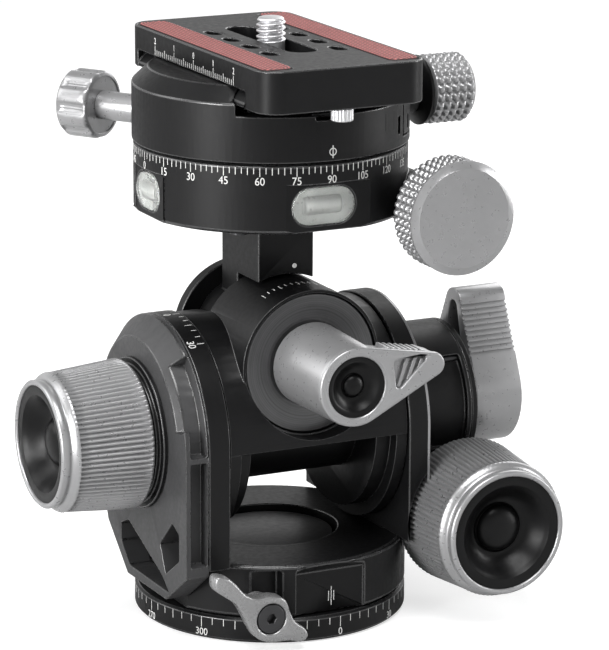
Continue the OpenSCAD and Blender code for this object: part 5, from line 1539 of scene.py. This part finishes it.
class TRIPOD_HEAD_OT_levers(Operator):
    """Adds the two lock levers."""

    bl_idname = "tripod_head.levers"
    bl_label = "Roll lever and pitch lever"

    def execute(self, context):
        roll_lever()
        pitch_lever()
        return {"FINISHED"}


class TRIPOD_HEAD_OT_levels(Operator):
    """Adds the two spirit levels."""

    bl_idname = "tripod_head.levels"
    bl_label = "Front and side spirit levels"

    def execute(self, context):
        spirit_levels()
        return {"FINISHED"}


class TRIPOD_HEAD_OT_scales(Operator):
    """Adds every tick, numeral and index mark."""

    bl_idname = "tripod_head.scales"
    bl_label = "Degree scales, ruler and index marks"

    def execute(self, context):
        scales()
        return {"FINISHED"}


class TRIPOD_HEAD_OT_plain(Operator):
    """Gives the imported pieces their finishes."""

    bl_idname = "tripod_head.plain"
    bl_label = "Finish of the pieces that stay as packed"

    def execute(self, context):
        plain_nodes()
        return {"FINISHED"}


class TRIPOD_HEAD_OT_stage(Operator):
    """Adds the floor, the world, the lamps and the camera."""

    bl_idname = "tripod_head.stage"
    bl_label = "Floor, lamps and camera"

    def execute(self, context):
        stage()
        return {"FINISHED"}


OPERATORS = (
    TRIPOD_HEAD_OT_base,
    TRIPOD_HEAD_OT_wing,
    TRIPOD_HEAD_OT_block,
    TRIPOD_HEAD_OT_clamp,
    TRIPOD_HEAD_OT_large_knobs,
    TRIPOD_HEAD_OT_small_knobs,
    TRIPOD_HEAD_OT_levers,
    TRIPOD_HEAD_OT_levels,
    TRIPOD_HEAD_OT_scales,
    TRIPOD_HEAD_OT_plain,
    TRIPOD_HEAD_OT_stage,
)


class TRIPOD_HEAD_PT_steps(Panel):
    """Lists the operators in the order in which they run."""

    bl_label = "Tripod head"
    bl_space_type = "VIEW_3D"
    bl_region_type = "UI"
    bl_category = "Tripod head"

    def draw(self, context):
        for operator in OPERATORS:
            self.layout.operator(operator.bl_idname)


GROUPS = (TripodHeadFinish, TripodHeadShape, TripodHeadStage)


def register():
    """Registers the classes and hangs the three groups of settings on the scene."""
    for group in (*GROUPS, *OPERATORS, TRIPOD_HEAD_PT_steps):
        bpy.utils.register_class(group)
    bpy.types.Scene.tripod_head_finish = PointerProperty(type=TripodHeadFinish)
    bpy.types.Scene.tripod_head_shape = PointerProperty(type=TripodHeadShape)
    bpy.types.Scene.tripod_head_stage = PointerProperty(type=TripodHeadStage)


def unregister():
    """Takes away what register added."""
    del bpy.types.Scene.tripod_head_stage
    del bpy.types.Scene.tripod_head_shape
    del bpy.types.Scene.tripod_head_finish
    for group in reversed((*GROUPS, *OPERATORS, TRIPOD_HEAD_PT_steps)):
        bpy.utils.unregister_class(group)


def main():
    """Runs every operator."""
    register()
    for operator in OPERATORS:
        getattr(bpy.ops.tripod_head, operator.bl_idname.split(".")[1])()


if __name__ == "__main__":
    main()
